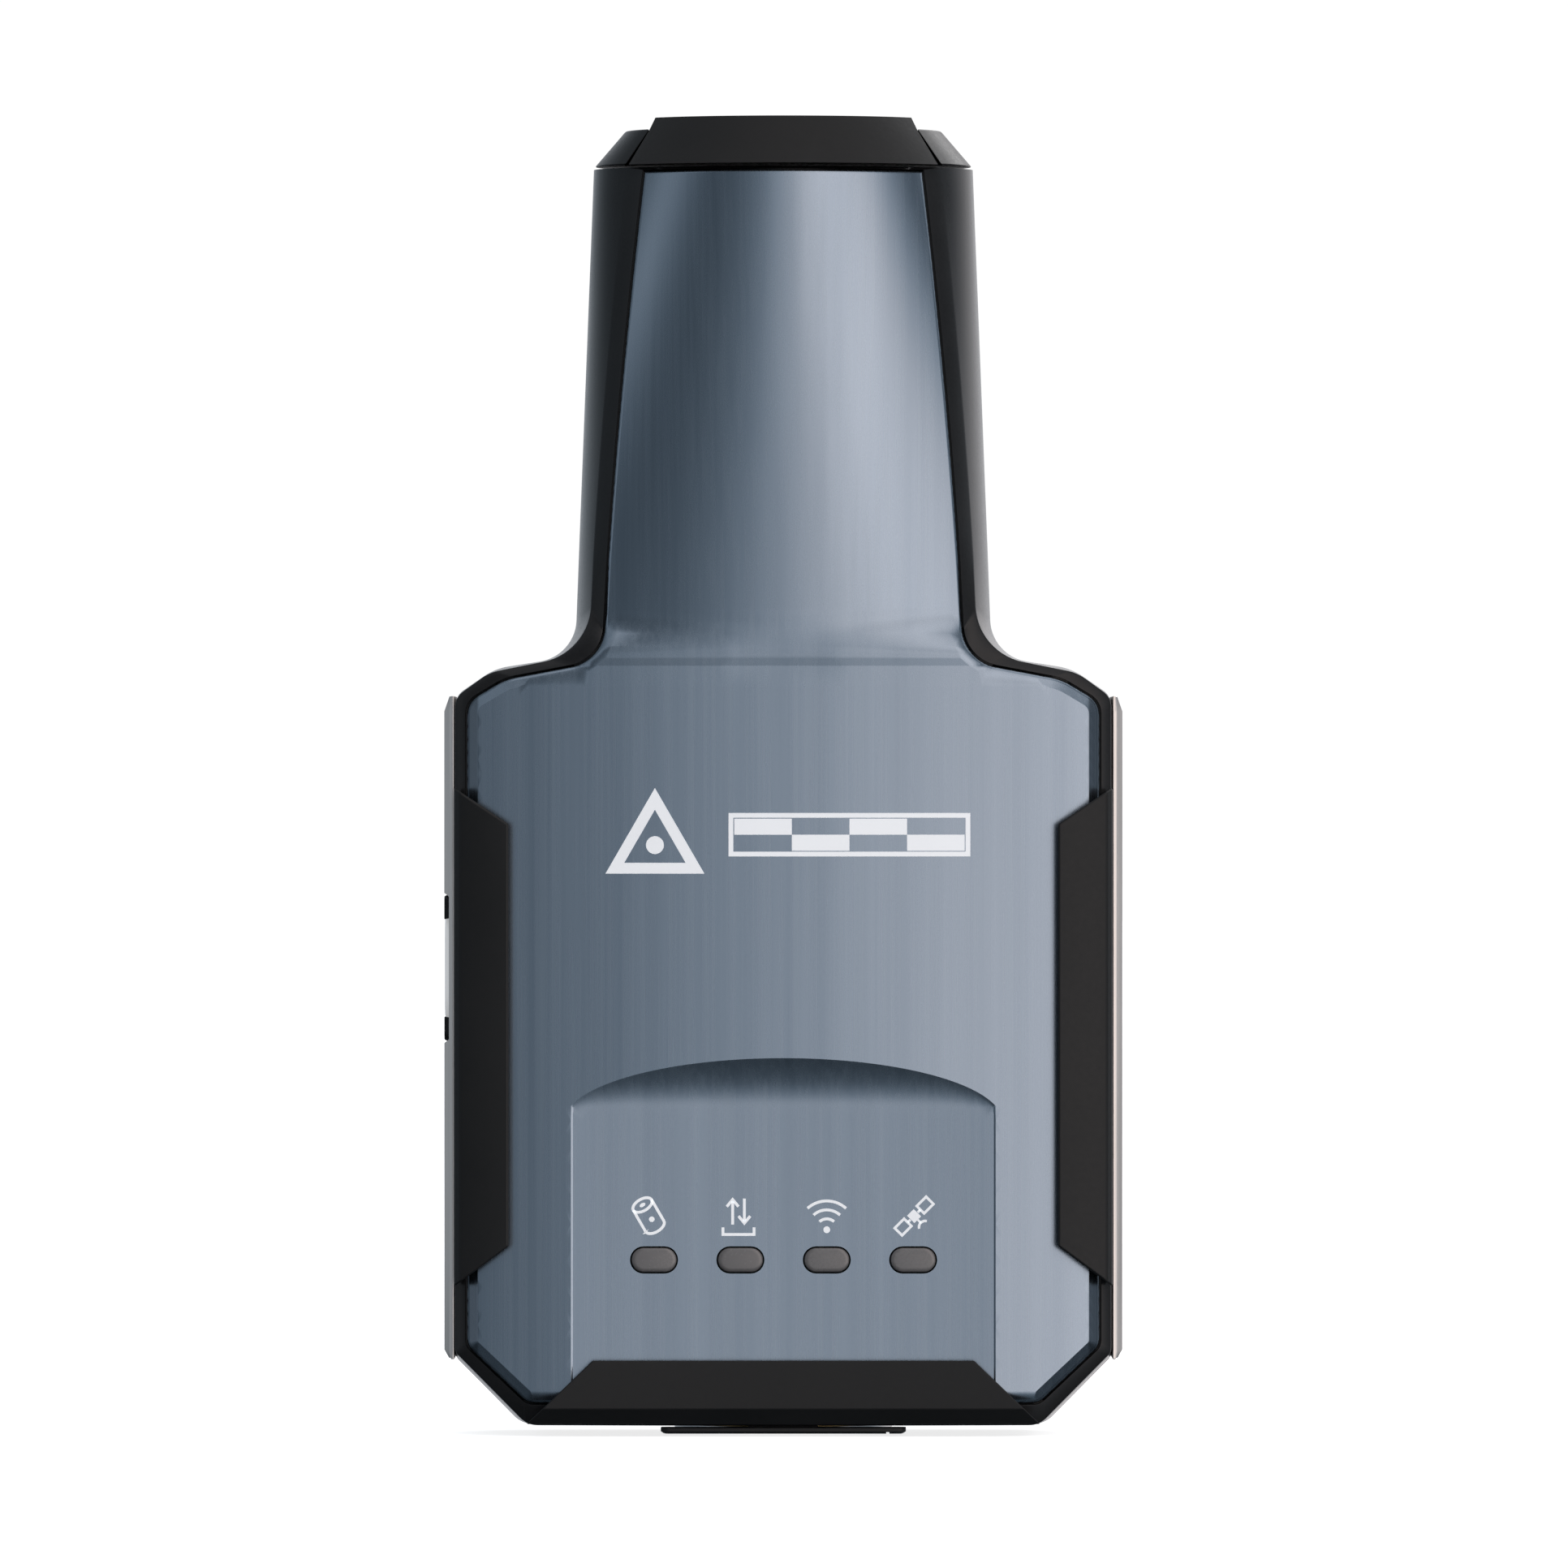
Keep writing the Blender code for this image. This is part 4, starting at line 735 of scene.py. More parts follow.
metal("copper", base=(0.80, 0.42, 0.25), rough=(0.25, 0.4), stretch=(900.0, 900.0, 900.0))
moulded("wire_red", dark=(0.38, 0.02, 0.02), light=(0.50, 0.03, 0.03),
        rough=(0.4, 0.5), grain=900.0, bump=0.03)
moulded("coax_jacket", dark=(0.02, 0.02, 0.02), light=(0.035, 0.035, 0.035),
        rough=(0.45, 0.55), grain=900.0, bump=0.05)
moulded("seal_grey", dark=(0.06, 0.06, 0.065), light=(0.09, 0.09, 0.095),
        rough=(0.7, 0.8), grain=900.0, bump=0.1)
metal("silver_label", base=(0.56, 0.57, 0.58), rough=(0.38, 0.48),
      stretch=(2000.0, 40.0, 2000.0), metallic=0.5)
# painted light: the white print glows to look brighter, though it is no lamp
moulded("print_white", dark=(0.80, 0.82, 0.84), light=(0.87, 0.89, 0.91),
        rough=(0.42, 0.55), grain=5000.0, bump=0.04, glow=((0.93, 0.96, 1.0), 0.28))


def dress(obj, slot, body="receiver", replaces=None, look=None):
    """Give an object its material and tell the frame what it is."""
    obj.data.materials.clear()
    obj.data.materials.append(MATERIALS[look or slot])
    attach(obj, body)
    if replaces:
        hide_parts(replaces)


for subpart in frame["record"]["subparts"]:
    node = frame["nodes"][subpart["node"]]
    node.data.materials.clear()
    node.data.materials.append(MATERIALS[subpart["material_slot"]])

# --------------------------------------------------------------- front cover
LINE_STEP = 1.6           # longest run on a feature line


def dense(line, step=LINE_STEP):
    """Subdivide a polyline so no run is longer than step."""
    points = [tuple(line[0])]
    for a, b in zip(line, line[1:]):
        a, b = np.array(a), np.array(b)
        count = max(1, int(math.ceil(np.linalg.norm(b - a) / step)))
        points += [tuple(a + (b - a) * i / count) for i in range(1, count + 1)]
    return points


def recess_lines():
    """Recess border, a line just inside its arch, and the feet of its side walls."""
    width = RECESS_HALF_W
    xs = [width * math.sin(math.radians(a)) for a in np.linspace(-90, 90, 73)]
    arch = [(x, float(recess_top(np.array([x]))[0])) for x in xs]
    lines = [dense([(-width, RECESS_LOW_Z)] + arch + [(width, RECESS_LOW_Z)]),
             dense([(x * 0.995, z - 0.35) for x, z in arch[2:-2]])]
    for side in (-1, 1):
        x = side * (width - RECESS_WALL)
        lines.append(dense([(x, RECESS_LOW_Z), (x, 34.0)]))
    return lines


def inset_lines():
    """Lines that follow the cover's edge, broken at the valley."""
    lines = []
    # inset, lowest z and highest z
    for inset, low, high in ((0.12, 3.6, HEIGHT), (COVER_EDGE_R, 3.6, HEIGHT),
                             (RIM_W, 4.6, Z_PLATEAU_TOP - 0.05)):
        ring = outline("cover", -inset)
        for side in (1, -1):
            points = [(side * x, z) for x, z in ring[:len(ring) // 2]
                      if low < z < high and not Z_VALLEY - 0.15 < z < Z_VALLEY + 0.15]
            runs = [[points[0]]]
            for a, b in zip(points, points[1:]):
                if (a[1] - Z_VALLEY) * (b[1] - Z_VALLEY) < 0:
                    runs.append([])
                runs[-1].append(b)
            lines += [dense(run) for run in runs if len(run) > 1]
    return lines


def open_edges(triangles):
    """Directed boundary edges of a triangle set."""
    seen = dict.fromkeys((t[i], t[(i + 1) % 3]) for t in triangles for i in range(3))
    return [(a, b) for a, b in seen if (b, a) not in seen]


def cover_patch():
    """Front face of the cover as (x, z) points and equally turned triangles."""
    ring = np.array(dense([*COVER_RING, COVER_RING[0]], 1.4)[:-1])
    holes = [stadium(x, LED_Z, LED_SIZE[0] + 0.3, LED_SIZE[1] + 0.3, 12) for x in LED_X]
    lines = recess_lines() + inset_lines()
    lines.append(dense([(-20.6, Z_VALLEY), (20.6, Z_VALLEY)], 1.0))
    lines.append(dense([(-27.0, Z_PLATEAU_TOP), (27.0, Z_PLATEAU_TOP)], 1.2))
    points, triangles = patch(ring, holes, lines, spacing=(1.25, 1.35), keep=0.35)
    used = np.unique(triangles)
    renumber = -np.ones(len(points), int)
    renumber[used] = np.arange(len(used))
    points, triangles = points[used], renumber[triangles]
    a, b, c = (points[triangles[:, i]] for i in range(3))
    area = (b[:, 0] - a[:, 0]) * (c[:, 1] - a[:, 1]) - (b[:, 1] - a[:, 1]) * (c[:, 0] - a[:, 0])
    triangles[area < 0] = triangles[area < 0][:, ::-1]
    return points, triangles[np.abs(area) > 1e-6]


def front_cover():
    points, triangles = cover_patch()
    count = len(points)
    y = rounded_cover_y(points)
    verts = np.vstack([loop3(points, y), loop3(points, y + COVER_T)])
    edges = open_edges([tuple(t) for t in triangles])
    faces = [tuple(t) for t in triangles] + [tuple(t[::-1] + count) for t in triangles]
    faces += [(b, a, a + count, b + count) for a, b in edges]
    # sample each corner's normal a little inside its own triangle
    corners = points[triangles]
    inward = corners.mean(axis=1, keepdims=True) - corners
    length = np.linalg.norm(inward, axis=2, keepdims=True)
    probes = corners + inward * np.minimum(0.33, 0.05 / np.maximum(length, 1e-9))
    face_normals = cover_normals(probes.reshape(-1, 2)).reshape(-1, 3, 3)
    normals = list(face_normals.reshape(-1, 3))
    normals += list((-face_normals[:, ::-1]).reshape(-1, 3))
    for a, b in edges:
        run = points[b] - points[a]
        outward = np.array([run[1], 0.0, -run[0]])
        normals += [outward / max(np.linalg.norm(outward), 1e-9)] * 4
    name = "front_cover_skin"
    mesh = bpy.data.meshes.new(name)
    mesh.from_pydata([tuple(v * MM) for v in verts], [],
                     [tuple(int(i) for i in f) for f in faces])
    mesh.validate()
    mesh.shade_smooth()
    mesh.normals_split_custom_set([tuple(n) for n in normals])
    return add_object(name, mesh)


dress(front_cover(), "cover_paint", replaces="front_cover")

# ------------------------------------------------------------ housings
OUTER = outline("outer")


def flank_stadium(half_len, half_w):
    """Stadium round the button centre as (y, z) points."""
    points = []
    for side in (1, -1):
        for k in range(17):
            angle = math.radians(180 * k / 16)
            reach = half_len - half_w + half_w * math.sin(angle)
            points.append((side * half_w * math.cos(angle), BUTTON_Z + side * reach))
    return points


def at_x(x, points):
    return [(x, y, z) for y, z in points]


def pole_bore_tool():
    return cylinder("tool", 10.0, (-0.5, 5.5), "Z", (0, FOOT_Y), segments=96)


def button_hole_tool():
    hole = flank_stadium(BUTTON_HALF + 0.3, 3.0)
    return loft("tool", [at_x(x, hole) for x in (-36.0, -31.0)])


def ellipse_angle(i, count, end):
    """Angle i of count on the way from 90 degrees to end."""
    return math.radians(90) + (end - math.radians(90)) * i / count


def front_housing():
    crease = outline("crease")
    rim_ring = outline("cover", 0.22)
    inner = outline("outer", -WALL_T - 0.2)
    edge_y = cover_y(COVER_RING)
    crease_y = edge_y + 1.2 + 1.3 * smoothstep((COVER_RING[:, 1] - 80.0) / 8.0)

    def seat(inset):
        """Ledge ring under the cover, behind the hindmost cover point nearby."""
        ring = outline("cover", -inset)
        y = np.maximum(edge_y, cover_y(ring))
        y = np.maximum.reduce([np.roll(y, k) for k in (-1, 0, 1)])
        return loop3(ring, y + COVER_T + 0.4)

    end = math.radians(55)
    side = []
    for k in range(10):
        angle = ellipse_angle(k, 9, end)
        out = (math.sin(angle) - math.sin(end)) / (1 - math.sin(end))
        forward = math.cos(angle) / math.cos(end)
        side.append(loop3(crease + (OUTER - crease) * out,
                          -SPLIT + (crease_y + SPLIT) * forward))
    rim = loop3(rim_ring, edge_y + 0.25)
    rim_foot = loop3(rim_ring, edge_y + COVER_T + 0.4)
    parting = loop3(inner, -SPLIT)
    ledge = seat(3.0)
    loops = round_corner(parting, side[0], side[1], 0.12, 2)
    loops += side[1:-1]
    loops += round_corner(side[-2], side[-1], rim, 0.22, 4)
    loops += round_corner(side[-1], rim, rim_foot, 0.12, 2)
    loops += [rim_foot, seat(1.5), ledge, ledge + (0.0, 1.5, 0.0), parting]
    shell = loft("front_housing_shell", loops, 32.0, cap=False)
    port = box("tool", (-5.3, PORT_Y - 2.1, -0.5), (5.3, PORT_Y + 2.1, 9.6))
    return cut(shell, [pole_bore_tool(), port, button_hole_tool()], smooth=32.0)


dress(front_housing(), "black_plastic", replaces="front_housing")


def rear_shell(smooth):
    """Outer skin of the rear housing, thickened inwards."""
    inset = 5.0
    steps = 12
    square = 3.4          # superellipse exponent of the body's long edges
    flat = outline("outer", -inset)
    flat[flat[:, 1] > 129.0, 1] = Z_NECK_TOP - 0.2
    neck_share = smoothstep((OUTER[:, 1] - 79.0) / 9.0)
    back = rear_y(flat)
    end = math.asin((NECK_R_TOP - inset) / NECK_R_TOP)
    loops = []
    for k in range(steps):
        phi = math.pi / 2 * k / steps
        body_in = 1 - math.cos(phi) ** (2 / square)
        body_back = math.sin(phi) ** (2 / square)
        angle = ellipse_angle(k, steps, end)
        neck_in = (1 - math.sin(angle)) / (1 - math.sin(end))
        neck_back = math.cos(angle) / math.cos(end)
        inward = body_in + (neck_in - body_in) * neck_share
        depth = body_back + (neck_back - body_back) * neck_share
        loops.append(loop3(OUTER + (flat - OUTER) * inward[:, None],
                           SPLIT + (back - SPLIT) * depth))
    points, triangles = patch(flat, [], [], spacing=(1.7, 2.0), keep=0.45)
    solid = bmesh.new()
    verts = [solid.verts.new(tuple(p)) for p in loop3(points, rear_y(points))]
    for triangle in triangles:
        solid.faces.new([verts[i] for i in triangle])
    rows = [[solid.verts.new(tuple(p)) for p in loop] for loop in loops]
    rows.append(verts[:len(flat)])
    for ring_a, ring_b in zip(rows, rows[1:]):
        bridge(solid, ring_a, ring_b)
    loose = [v for v in solid.verts if not v.link_faces]
    bmesh.ops.delete(solid, geom=loose, context="VERTS")
    shell = finish_solid("rear_housing_shell", solid, smooth)
    wall = shell.modifiers.new("wall", "SOLIDIFY")
    wall.thickness = WALL_T * MM
    wall.offset = -1.0
    wall.use_even_offset = True
    bake(shell, smooth)
    return shell


def rear_housing():
    smooth = 40.0
    plate_gap = 0.3
    shell = rear_shell(smooth)
    cut(shell, [pole_bore_tool(), button_hole_tool()], smooth=smooth)
    tools = []
    for x, z in SCREWS.values():
        for side in SIDES.values():
            tools.append(cylinder("tool", 2.6, (15.9, 20.0), "Y", (side * x, z), 48))
            tools.append(cylinder("tool", 1.5, (10.0, 20.0), "Y", (side * x, z), 32))
    tools.append(box("tool", (-PLATE_HALF_W - plate_gap, 16.6, PLATE_Z[0] - plate_gap),
                     (PLATE_HALF_W + plate_gap, 18.0, PLATE_Z[1] + plate_gap)))
    cut(shell, tools, smooth=smooth)
    # lip over the parting line at the top of the neck
    lip = box("tool", (-16.5, SPLIT - 0.34, 130.9), (16.5, SPLIT + 1.6, 133.9))
    return cut(shell, [lip], "UNION", smooth)


dress(rear_housing(), "black_plastic", replaces="rear_housing")

# --------------------------------------------------------------------- crown
Z_CAP = Z_NECK_TOP + 0.3


def level_arc(radius, start, end, z, segments):
    angles = [start + (end - start) * k / segments for k in range(segments + 1)]
    return [(radius * math.cos(a), radius * math.sin(a), z) for a in angles]


def with_opposite(half):
    """Half ring plus its half turn about the vertical axis."""
    return half + [(-x, -y, z) for x, y, z in half]


def clipped_ring(radius, flat_x, z):
    """Circle with flat sides at x = +-flat_x."""
    start = math.acos(flat_x / radius)
    return with_opposite(level_arc(radius, start, math.pi - start, z, 28))


def stepped_ring(side_r, front_r, step_x, z):
    """Circle of side_r beyond x = +-step_x and of front_r between."""
    side = math.acos(step_x / side_r)
    front = math.acos(step_x / front_r)
    return with_opposite(level_arc(side_r, -side, side, z, 14)
                         + level_arc(front_r, front, math.pi - front, z, 28))


def top_cap():
    cap = loft("top_cap_moulding", [stepped_ring(20.1, 18.5, 16.75, Z_CAP),
                                    stepped_ring(16.8, 14.8, 14.2, 138.54)])
    return bevel(cap, 0.2)


def top_pad():
    pad = loft("top_pad_rubber", [clipped_ring(20.2, 16.4, Z_CAP),
                                  clipped_ring(17.0, 14.3, 138.3),
                                  clipped_ring(15.6, 13.6, HEIGHT)], 25.0)
    hollow = cylinder("tool", 19.05, (Z_CAP - 0.2, 138.84), "Z", (0, 0), 96, end_radius=15.2)
    cut(pad, [hollow], smooth=25.0)
    return bevel(pad, 0.25, angle=28.0)


# the top cap wears the darker copy of the black plastic, painted shade
dress(top_cap(), "black_plastic", replaces="top_cap", look="cap_plastic_painted_shade")
# the crown pad wears the lighter copy of the black rubber, painted light
dress(top_pad(), "black_rubber", replaces="top_pad", look="crown_rubber_painted_light")

# -------------------------------------------------------------- rubber pads
PAD_FRONT = -15.95
PAD_BACK = -14.95
PAD_INNER_X = 29.1
PAD_ENDS = ((20.0, 15.7), (64.75, 68.6))   # z at the inner and outer edge, low and high end
FOOT_PAD_FRONT = -17.0
FOOT_PAD_BACK = -15.8
FOOT_PAD_TOP = 7.9
PAD_BEVEL = 0.28


def side_pad(name, side):
    # section as (x, y)
    profile = [(PAD_INNER_X, PAD_BACK), (PAD_INNER_X, PAD_FRONT - 0.38),
               (32.9, PAD_FRONT + 0.25), (34.3, PAD_FRONT + 0.8),
               (BODY_HALF_W, PAD_FRONT + 1.8), (BODY_HALF_W, PAD_FRONT + 3.55),
               (33.8, PAD_FRONT + 2.65), (33.8, PAD_BACK + 0.75), (32.4, PAD_BACK + 0.5)]
    width = BODY_HALF_W - PAD_INNER_X
    rows = [[(side * x, y, inner + (outer - inner) * ((x - PAD_INNER_X) / width))
             for x, y in profile] for inner, outer in PAD_ENDS]
    return bevel(loft(name + "_side_pad_rubber", rows), PAD_BEVEL)


def bottom_pad():
    """Pad that widens towards its lower edge."""
    # section as (z, y)
    profile = [(FOOT_PAD_TOP, FOOT_PAD_FRONT), (2.8, FOOT_PAD_FRONT), (1.1, -15.5),
               (1.25, -15.3), (3.05, FOOT_PAD_BACK), (FOOT_PAD_TOP, FOOT_PAD_BACK)]
    rows = [[(side * (20.2 + (FOOT_PAD_TOP - z) * 1.04), y, z) for z, y in profile]
            for side in (1, -1)]
    return bevel(loft("bottom_pad_rubber", rows), PAD_BEVEL)


for name, side in SIDES.items():
    dress(side_pad(name, side), "black_rubber", replaces=name + "_side_pad")
dress(bottom_pad(), "black_rubber", replaces="bottom_pad")

# ------------------------------------------------------- rails and button
RAIL_Z = (7.9, 78.3)
RAIL_HALF_W = 36.08       # outer face of the ribs, the widest point
RAIL_FLAT_X = 35.5        # flat of the rail beside its rib
RAIL_EDGE_Y = 10.9
RIB_Y = 5.3
BEZEL_HALF = 7.8


def flank_rect(half_len, half_w, radius):
    """Rounded rectangle round the button centre as (y, z) points."""
    return rounded_rect((-half_w, BUTTON_Z - half_len), (half_w, BUTTON_Z + half_len),
                        radius, 12)


def rail(name, side):
    edge_rise, rib_rise = (0.28, 0.50) if side < 0 else (0.20, 0.43)
    # section as (x, y)
    profile = [(34.93, -RAIL_EDGE_Y), (35.15, -RAIL_EDGE_Y),
               (RAIL_FLAT_X, -RAIL_EDGE_Y + edge_rise), (RAIL_FLAT_X, -RIB_Y),
               (RAIL_HALF_W, -RIB_Y + rib_rise), (RAIL_HALF_W, RIB_Y - rib_rise),
               (RAIL_FLAT_X, RIB_Y), (RAIL_FLAT_X, RAIL_EDGE_Y - edge_rise),
               (35.15, RAIL_EDGE_Y), (34.93, RAIL_EDGE_Y)]
    low, high = RAIL_Z
    # height and how far the face sinks there
    stations = ((low, 0.5), (low + 0.9, 0.0), (high - 1.6, 0.0), (high, 0.55))
    rows = [[(side * (x - max(0.0, min(sink, x - 35.3))), y, z) for x, y in profile]
            for z, sink in stations]
    obj = loft(name + "_rail_trim", rows)
    if side < 0:
        hole = flank_rect(BEZEL_HALF + 0.3, 5.4, 1.2)
        cut(obj, [loft("tool", [at_x(x, hole) for x in (-37.0, -34.8)])])
    return bevel(obj, 0.12)


def button_bezel():
    bezel = loft("button_bezel_ring", [
        at_x(-RAIL_HALF_W, flank_rect(BEZEL_HALF - 0.15, 4.95, 0.75)),
        at_x(-35.7, flank_rect(BEZEL_HALF, 5.1, 0.9)),
        at_x(-34.95, flank_rect(BEZEL_HALF, 5.1, 0.9))])
    hole = flank_stadium(BUTTON_HALF + 0.2, 2.9)
    tools = [loft("tool", [at_x(x, hole) for x in (-37.0, -33.0)])]
    # flat-bottomed notch across the face
    notch = []
    for x, half in ((-37.0, BUTTON_HALF - 0.4), (-35.45, BUTTON_HALF - 0.05)):
        low, high = BUTTON_Z - half, BUTTON_Z + half
        notch.append([(x, 6.0, high), (x, -6.0, high), (x, -6.0, low), (x, 6.0, low)])
    tools.append(loft("tool", notch))
    return bevel(cut(bezel, tools), 0.1, segments=2)


def power_button():
    # x, inset of the outline
    stations = ((-RAIL_HALF_W, 0.3), (-RAIL_HALF_W + 0.06, 0.12), (-35.8, 0.0), (-34.2, 0.0))
    button = loft("power_button_key", [at_x(x, flank_stadium(BUTTON_HALF - inset, 2.7 - inset))
                                       for x, inset in stations])
    dimple = cylinder("tool", 0.32, (-37.0, -35.85), "X", (0.0, 46.6), 24)
    return cut(button, [dimple])


for name in ("right", "left"):
    dress(rail(name, SIDES[name]), "rail_trim", replaces=name + "_rail")
dress(button_bezel(), "black_plastic", replaces="button_bezel")
dress(power_button(), "button_white", body="power_button", replaces="power_button")

# --------------------------------------------------------------- LED lenses
# depth behind the recess face, inset of the outline
LENS_STATIONS = ((-0.16, 0.45), (-0.12, 0.18), (0.0, 0.05), (0.15, 0.0), (2.6, 0.0))


def led_lens(name, cx):
    width, height = LED_SIZE
    rows = [loop3(stadium(cx, LED_Z, width - 2 * inset, height - 2 * inset, 14),
                  RECESS_Y + depth) for depth, inset in LENS_STATIONS]
    return loft("light_pipe_" + name, rows, 45.0)


for name, cx in zip(("battery", "data", "wireless", "satellite"), LED_X):
    dress(led_lens(name, cx), "lens_grey", replaces="led_lens_" + name)

# ------------------------------------------------------------ printed marks
PEN = 0.30                # line width of the icons
FINE_PEN = PEN * 0.9
ICON_Z = 23.2


def printed(name, polygons, face_y=RECESS_Y, crowned=False):
    """Flat printed shapes standing proud of a face, bent to the body front if crowned."""
    solid = bmesh.new()
    for polygon in polygons:
        front = [solid.verts.new((x, face_y - 0.06, z)) for x, z in polygon]
        back = [solid.verts.new((x, face_y + 0.04, z)) for x, z in polygon]
        bridge(solid, front, back)
        solid.faces.new(front[::-1])
        solid.faces.new(back)
    if crowned:
        for k in range(-11, 12):
            bmesh.ops.bisect_plane(solid, geom=solid.verts[:] + solid.edges[:] + solid.faces[:],
                                   plane_co=(2.0 * k + 0.013, 0, 0), plane_no=(1, 0, 0),
                                   dist=1e-5)
        for vert in solid.verts:
            vert.co.y += vert.co.x ** 2 / (2 * CROWN_R)
    bmesh.ops.triangulate(solid, faces=[f for f in solid.faces if len(f.verts) > 4])
    dress(finish_solid(name, solid, 30.0), "button_white", look="print_white")


def stroke(points, width=PEN, closed=False):
    """Quads of a mitred pen line through points."""
    points = [np.array(p, float) for p in points]
    count = len(points)
    steps = [points[(i + 1) % count] - points[i] for i in range(count)]
    steps = [step / max(np.linalg.norm(step), 1e-9) for step in steps]
    left, right = [], []
    for i, point in enumerate(points):
        before = steps[i - 1] if i > 0 or closed else steps[0]
        after = steps[i] if i < count - 1 or closed else before
        normal = np.array([-before[1], before[0]])
        mitre = normal + np.array([-after[1], after[0]])
        mitre /= max(np.linalg.norm(mitre), 1e-9)
        reach = (width / 2) / max(mitre @ normal, 0.35)
        left.append(tuple(point + mitre * reach))
        right.append(tuple(point - mitre * reach))
    quads = []
    for i in range(count if closed else count - 1):
        j = (i + 1) % count
        quads.append([left[i], left[j], right[j], right[i]])
    return quads


def arc(cx, cz, radius, start, end, segments, radius_z=None):
    points = []
    for k in range(segments + 1):
        angle = math.radians(start + (end - start) * k / segments)
        points.append((cx + radius * math.cos(angle),
                       cz + (radius_z or radius) * math.sin(angle)))
    return points


def disc(cx, cz, radius, segments, radius_z=None):
    return arc(cx, cz, radius, 0, 360, segments, radius_z)[:-1]


def rectangle(low_x, low_z, high_x, high_z):
    return [(low_x, low_z), (high_x, low_z), (high_x, high_z), (low_x, high_z)]


def turn(points, cx, degrees):
    """Turn points about the origin, then move them to cx at icon height."""
    c, s = math.cos(math.radians(degrees)), math.sin(math.radians(degrees))
    return [(cx + x * c - z * s, ICON_Z + x * s + z * c) for x, z in points]


def mark_cell(cx=-14.25, tilt=30):
    """Tilted cylinder with a pole cap and a charge dot."""
    radius, squash, top = 1.12, 0.62, 1.35
    polygons = stroke(turn(disc(0, top, radius, 28, squash), cx, tilt), closed=True)
    wall = [(-radius, top), (-radius, -1.25)]
    wall += arc(0, -1.25, radius, 180, 360, 14, squash) + [(radius, top)]
    polygons += stroke(turn(wall, cx, tilt))
    polygons += [turn(disc(0, top, 0.34, 12, 0.2), cx, tilt)]
    polygons += [turn(disc(0.1, -0.45, 0.3, 12), cx, tilt)]
    printed("mark_cell", polygons)


def mark_data(cx=-4.75):
    """One arrow up, one arrow down, over a tray."""
    polygons = []
    # shaft x, direction, tail and tip above the icon centre
    for off, way, tail, tip in ((-0.62, 1, -0.9, 1.75), (0.62, -1, 1.85, -0.75)):
        x, tail_z, tip_z = cx + off, ICON_Z + tail, ICON_Z + tip
        barb_z = tip_z - 0.75 * way
        polygons += stroke([(x, tail_z), (x, tip_z - 0.2 * way)])
        polygons += stroke([(x - 0.62, barb_z), (x, tip_z), (x + 0.62, barb_z)])
    tray = ((-1.65, -1.2), (-1.65, -1.95), (1.65, -1.95), (1.65, -1.2))
    polygons += stroke([(cx + x, ICON_Z + z) for x, z in tray])
    printed("mark_data", polygons)


def mark_waves(cx=4.6):
    """A dot with three waves."""
    low_z = ICON_Z - 1.45
    polygons = [disc(cx, low_z, 0.36, 18)]
    for radius in (1.15, 2.1, 3.05):
        polygons += stroke(arc(cx, low_z, radius, 48, 132, 18))
    printed("mark_waves", polygons)


def mark_satellite(cx=13.85, tilt=45):
    """A body between two panels, with a small dish."""
    polygons = []
    for side in (-1, 1):
        panel = rectangle(side * 0.95, -0.55, side * 2.35, 0.55)
        polygons += stroke(turn(panel, cx, tilt), FINE_PEN, closed=True)
        polygons += stroke(turn([(side * 0.55, 0), (side * 0.95, 0)], cx, tilt), FINE_PEN)
    polygons += [turn(rectangle(-0.5, -0.55, 0.5, 0.55), cx, tilt)]
    polygons += stroke(turn([(0, -0.55), (0, -1.02)], cx, tilt), PEN * 0.8)
    polygons += stroke(turn(arc(0, -1.66, 0.66, 30, 150, 12), cx, tilt), FINE_PEN)
    printed("mark_satellite", polygons)


def mark_survey():
    """Control-point triangle and a scale bar on the plateau."""
    cx, cz = -13.6, 62.5
    triangle = [(cx + 4.9 * math.cos(math.radians(a)), cz + 4.9 * math.sin(math.radians(a)))
                for a in (90, 210, 330)]
    polygons = stroke(triangle, 1.15, closed=True)
    polygons += [disc(cx, cz, 0.95, 24)]
    bar_x, bar_z, cell_w, cell_h = -5.2, 63.6, 6.1, 1.7
    for k in range(4):
        low = bar_z if k % 2 == 0 else bar_z - cell_h
        high = bar_z + cell_h if k % 2 == 0 else bar_z
        polygons += [rectangle(bar_x + k * cell_w, low, bar_x + (k + 1) * cell_w, high)]
    border = rectangle(bar_x - 0.35, bar_z - 2.05, bar_x + 4 * cell_w + 0.35, bar_z + 2.05)
    polygons += stroke(border, 0.5, closed=True)
    printed("mark_survey", polygons, Y_PLATEAU, crowned=True)


mark_cell()
mark_data()
mark_waves()
mark_satellite()
mark_survey()

# ------------------------------------------------------------ foot and port
FOOT_R = 11.6
THREAD_R = 15.88 / 2      # 5/8 inch survey pole thread, major diameter 15.88
THREAD_PITCH = 25.4 / 11
INSERT_TOP = 13.6
FLAP_HALF_W = 13.0
FLAP_Y = (-14.6, -8.5)


def foot_seat():
    # radius, height
    profile = [(10.0, 0.65), (10.0, 0.12), (10.12, 0.0), (FOOT_R - 0.3, 0.0),
               (FOOT_R - 0.08, 0.09), (FOOT_R, 0.3), (FOOT_R, 0.65)]
    return turned("foot_seat", profile, smooth=30.0)


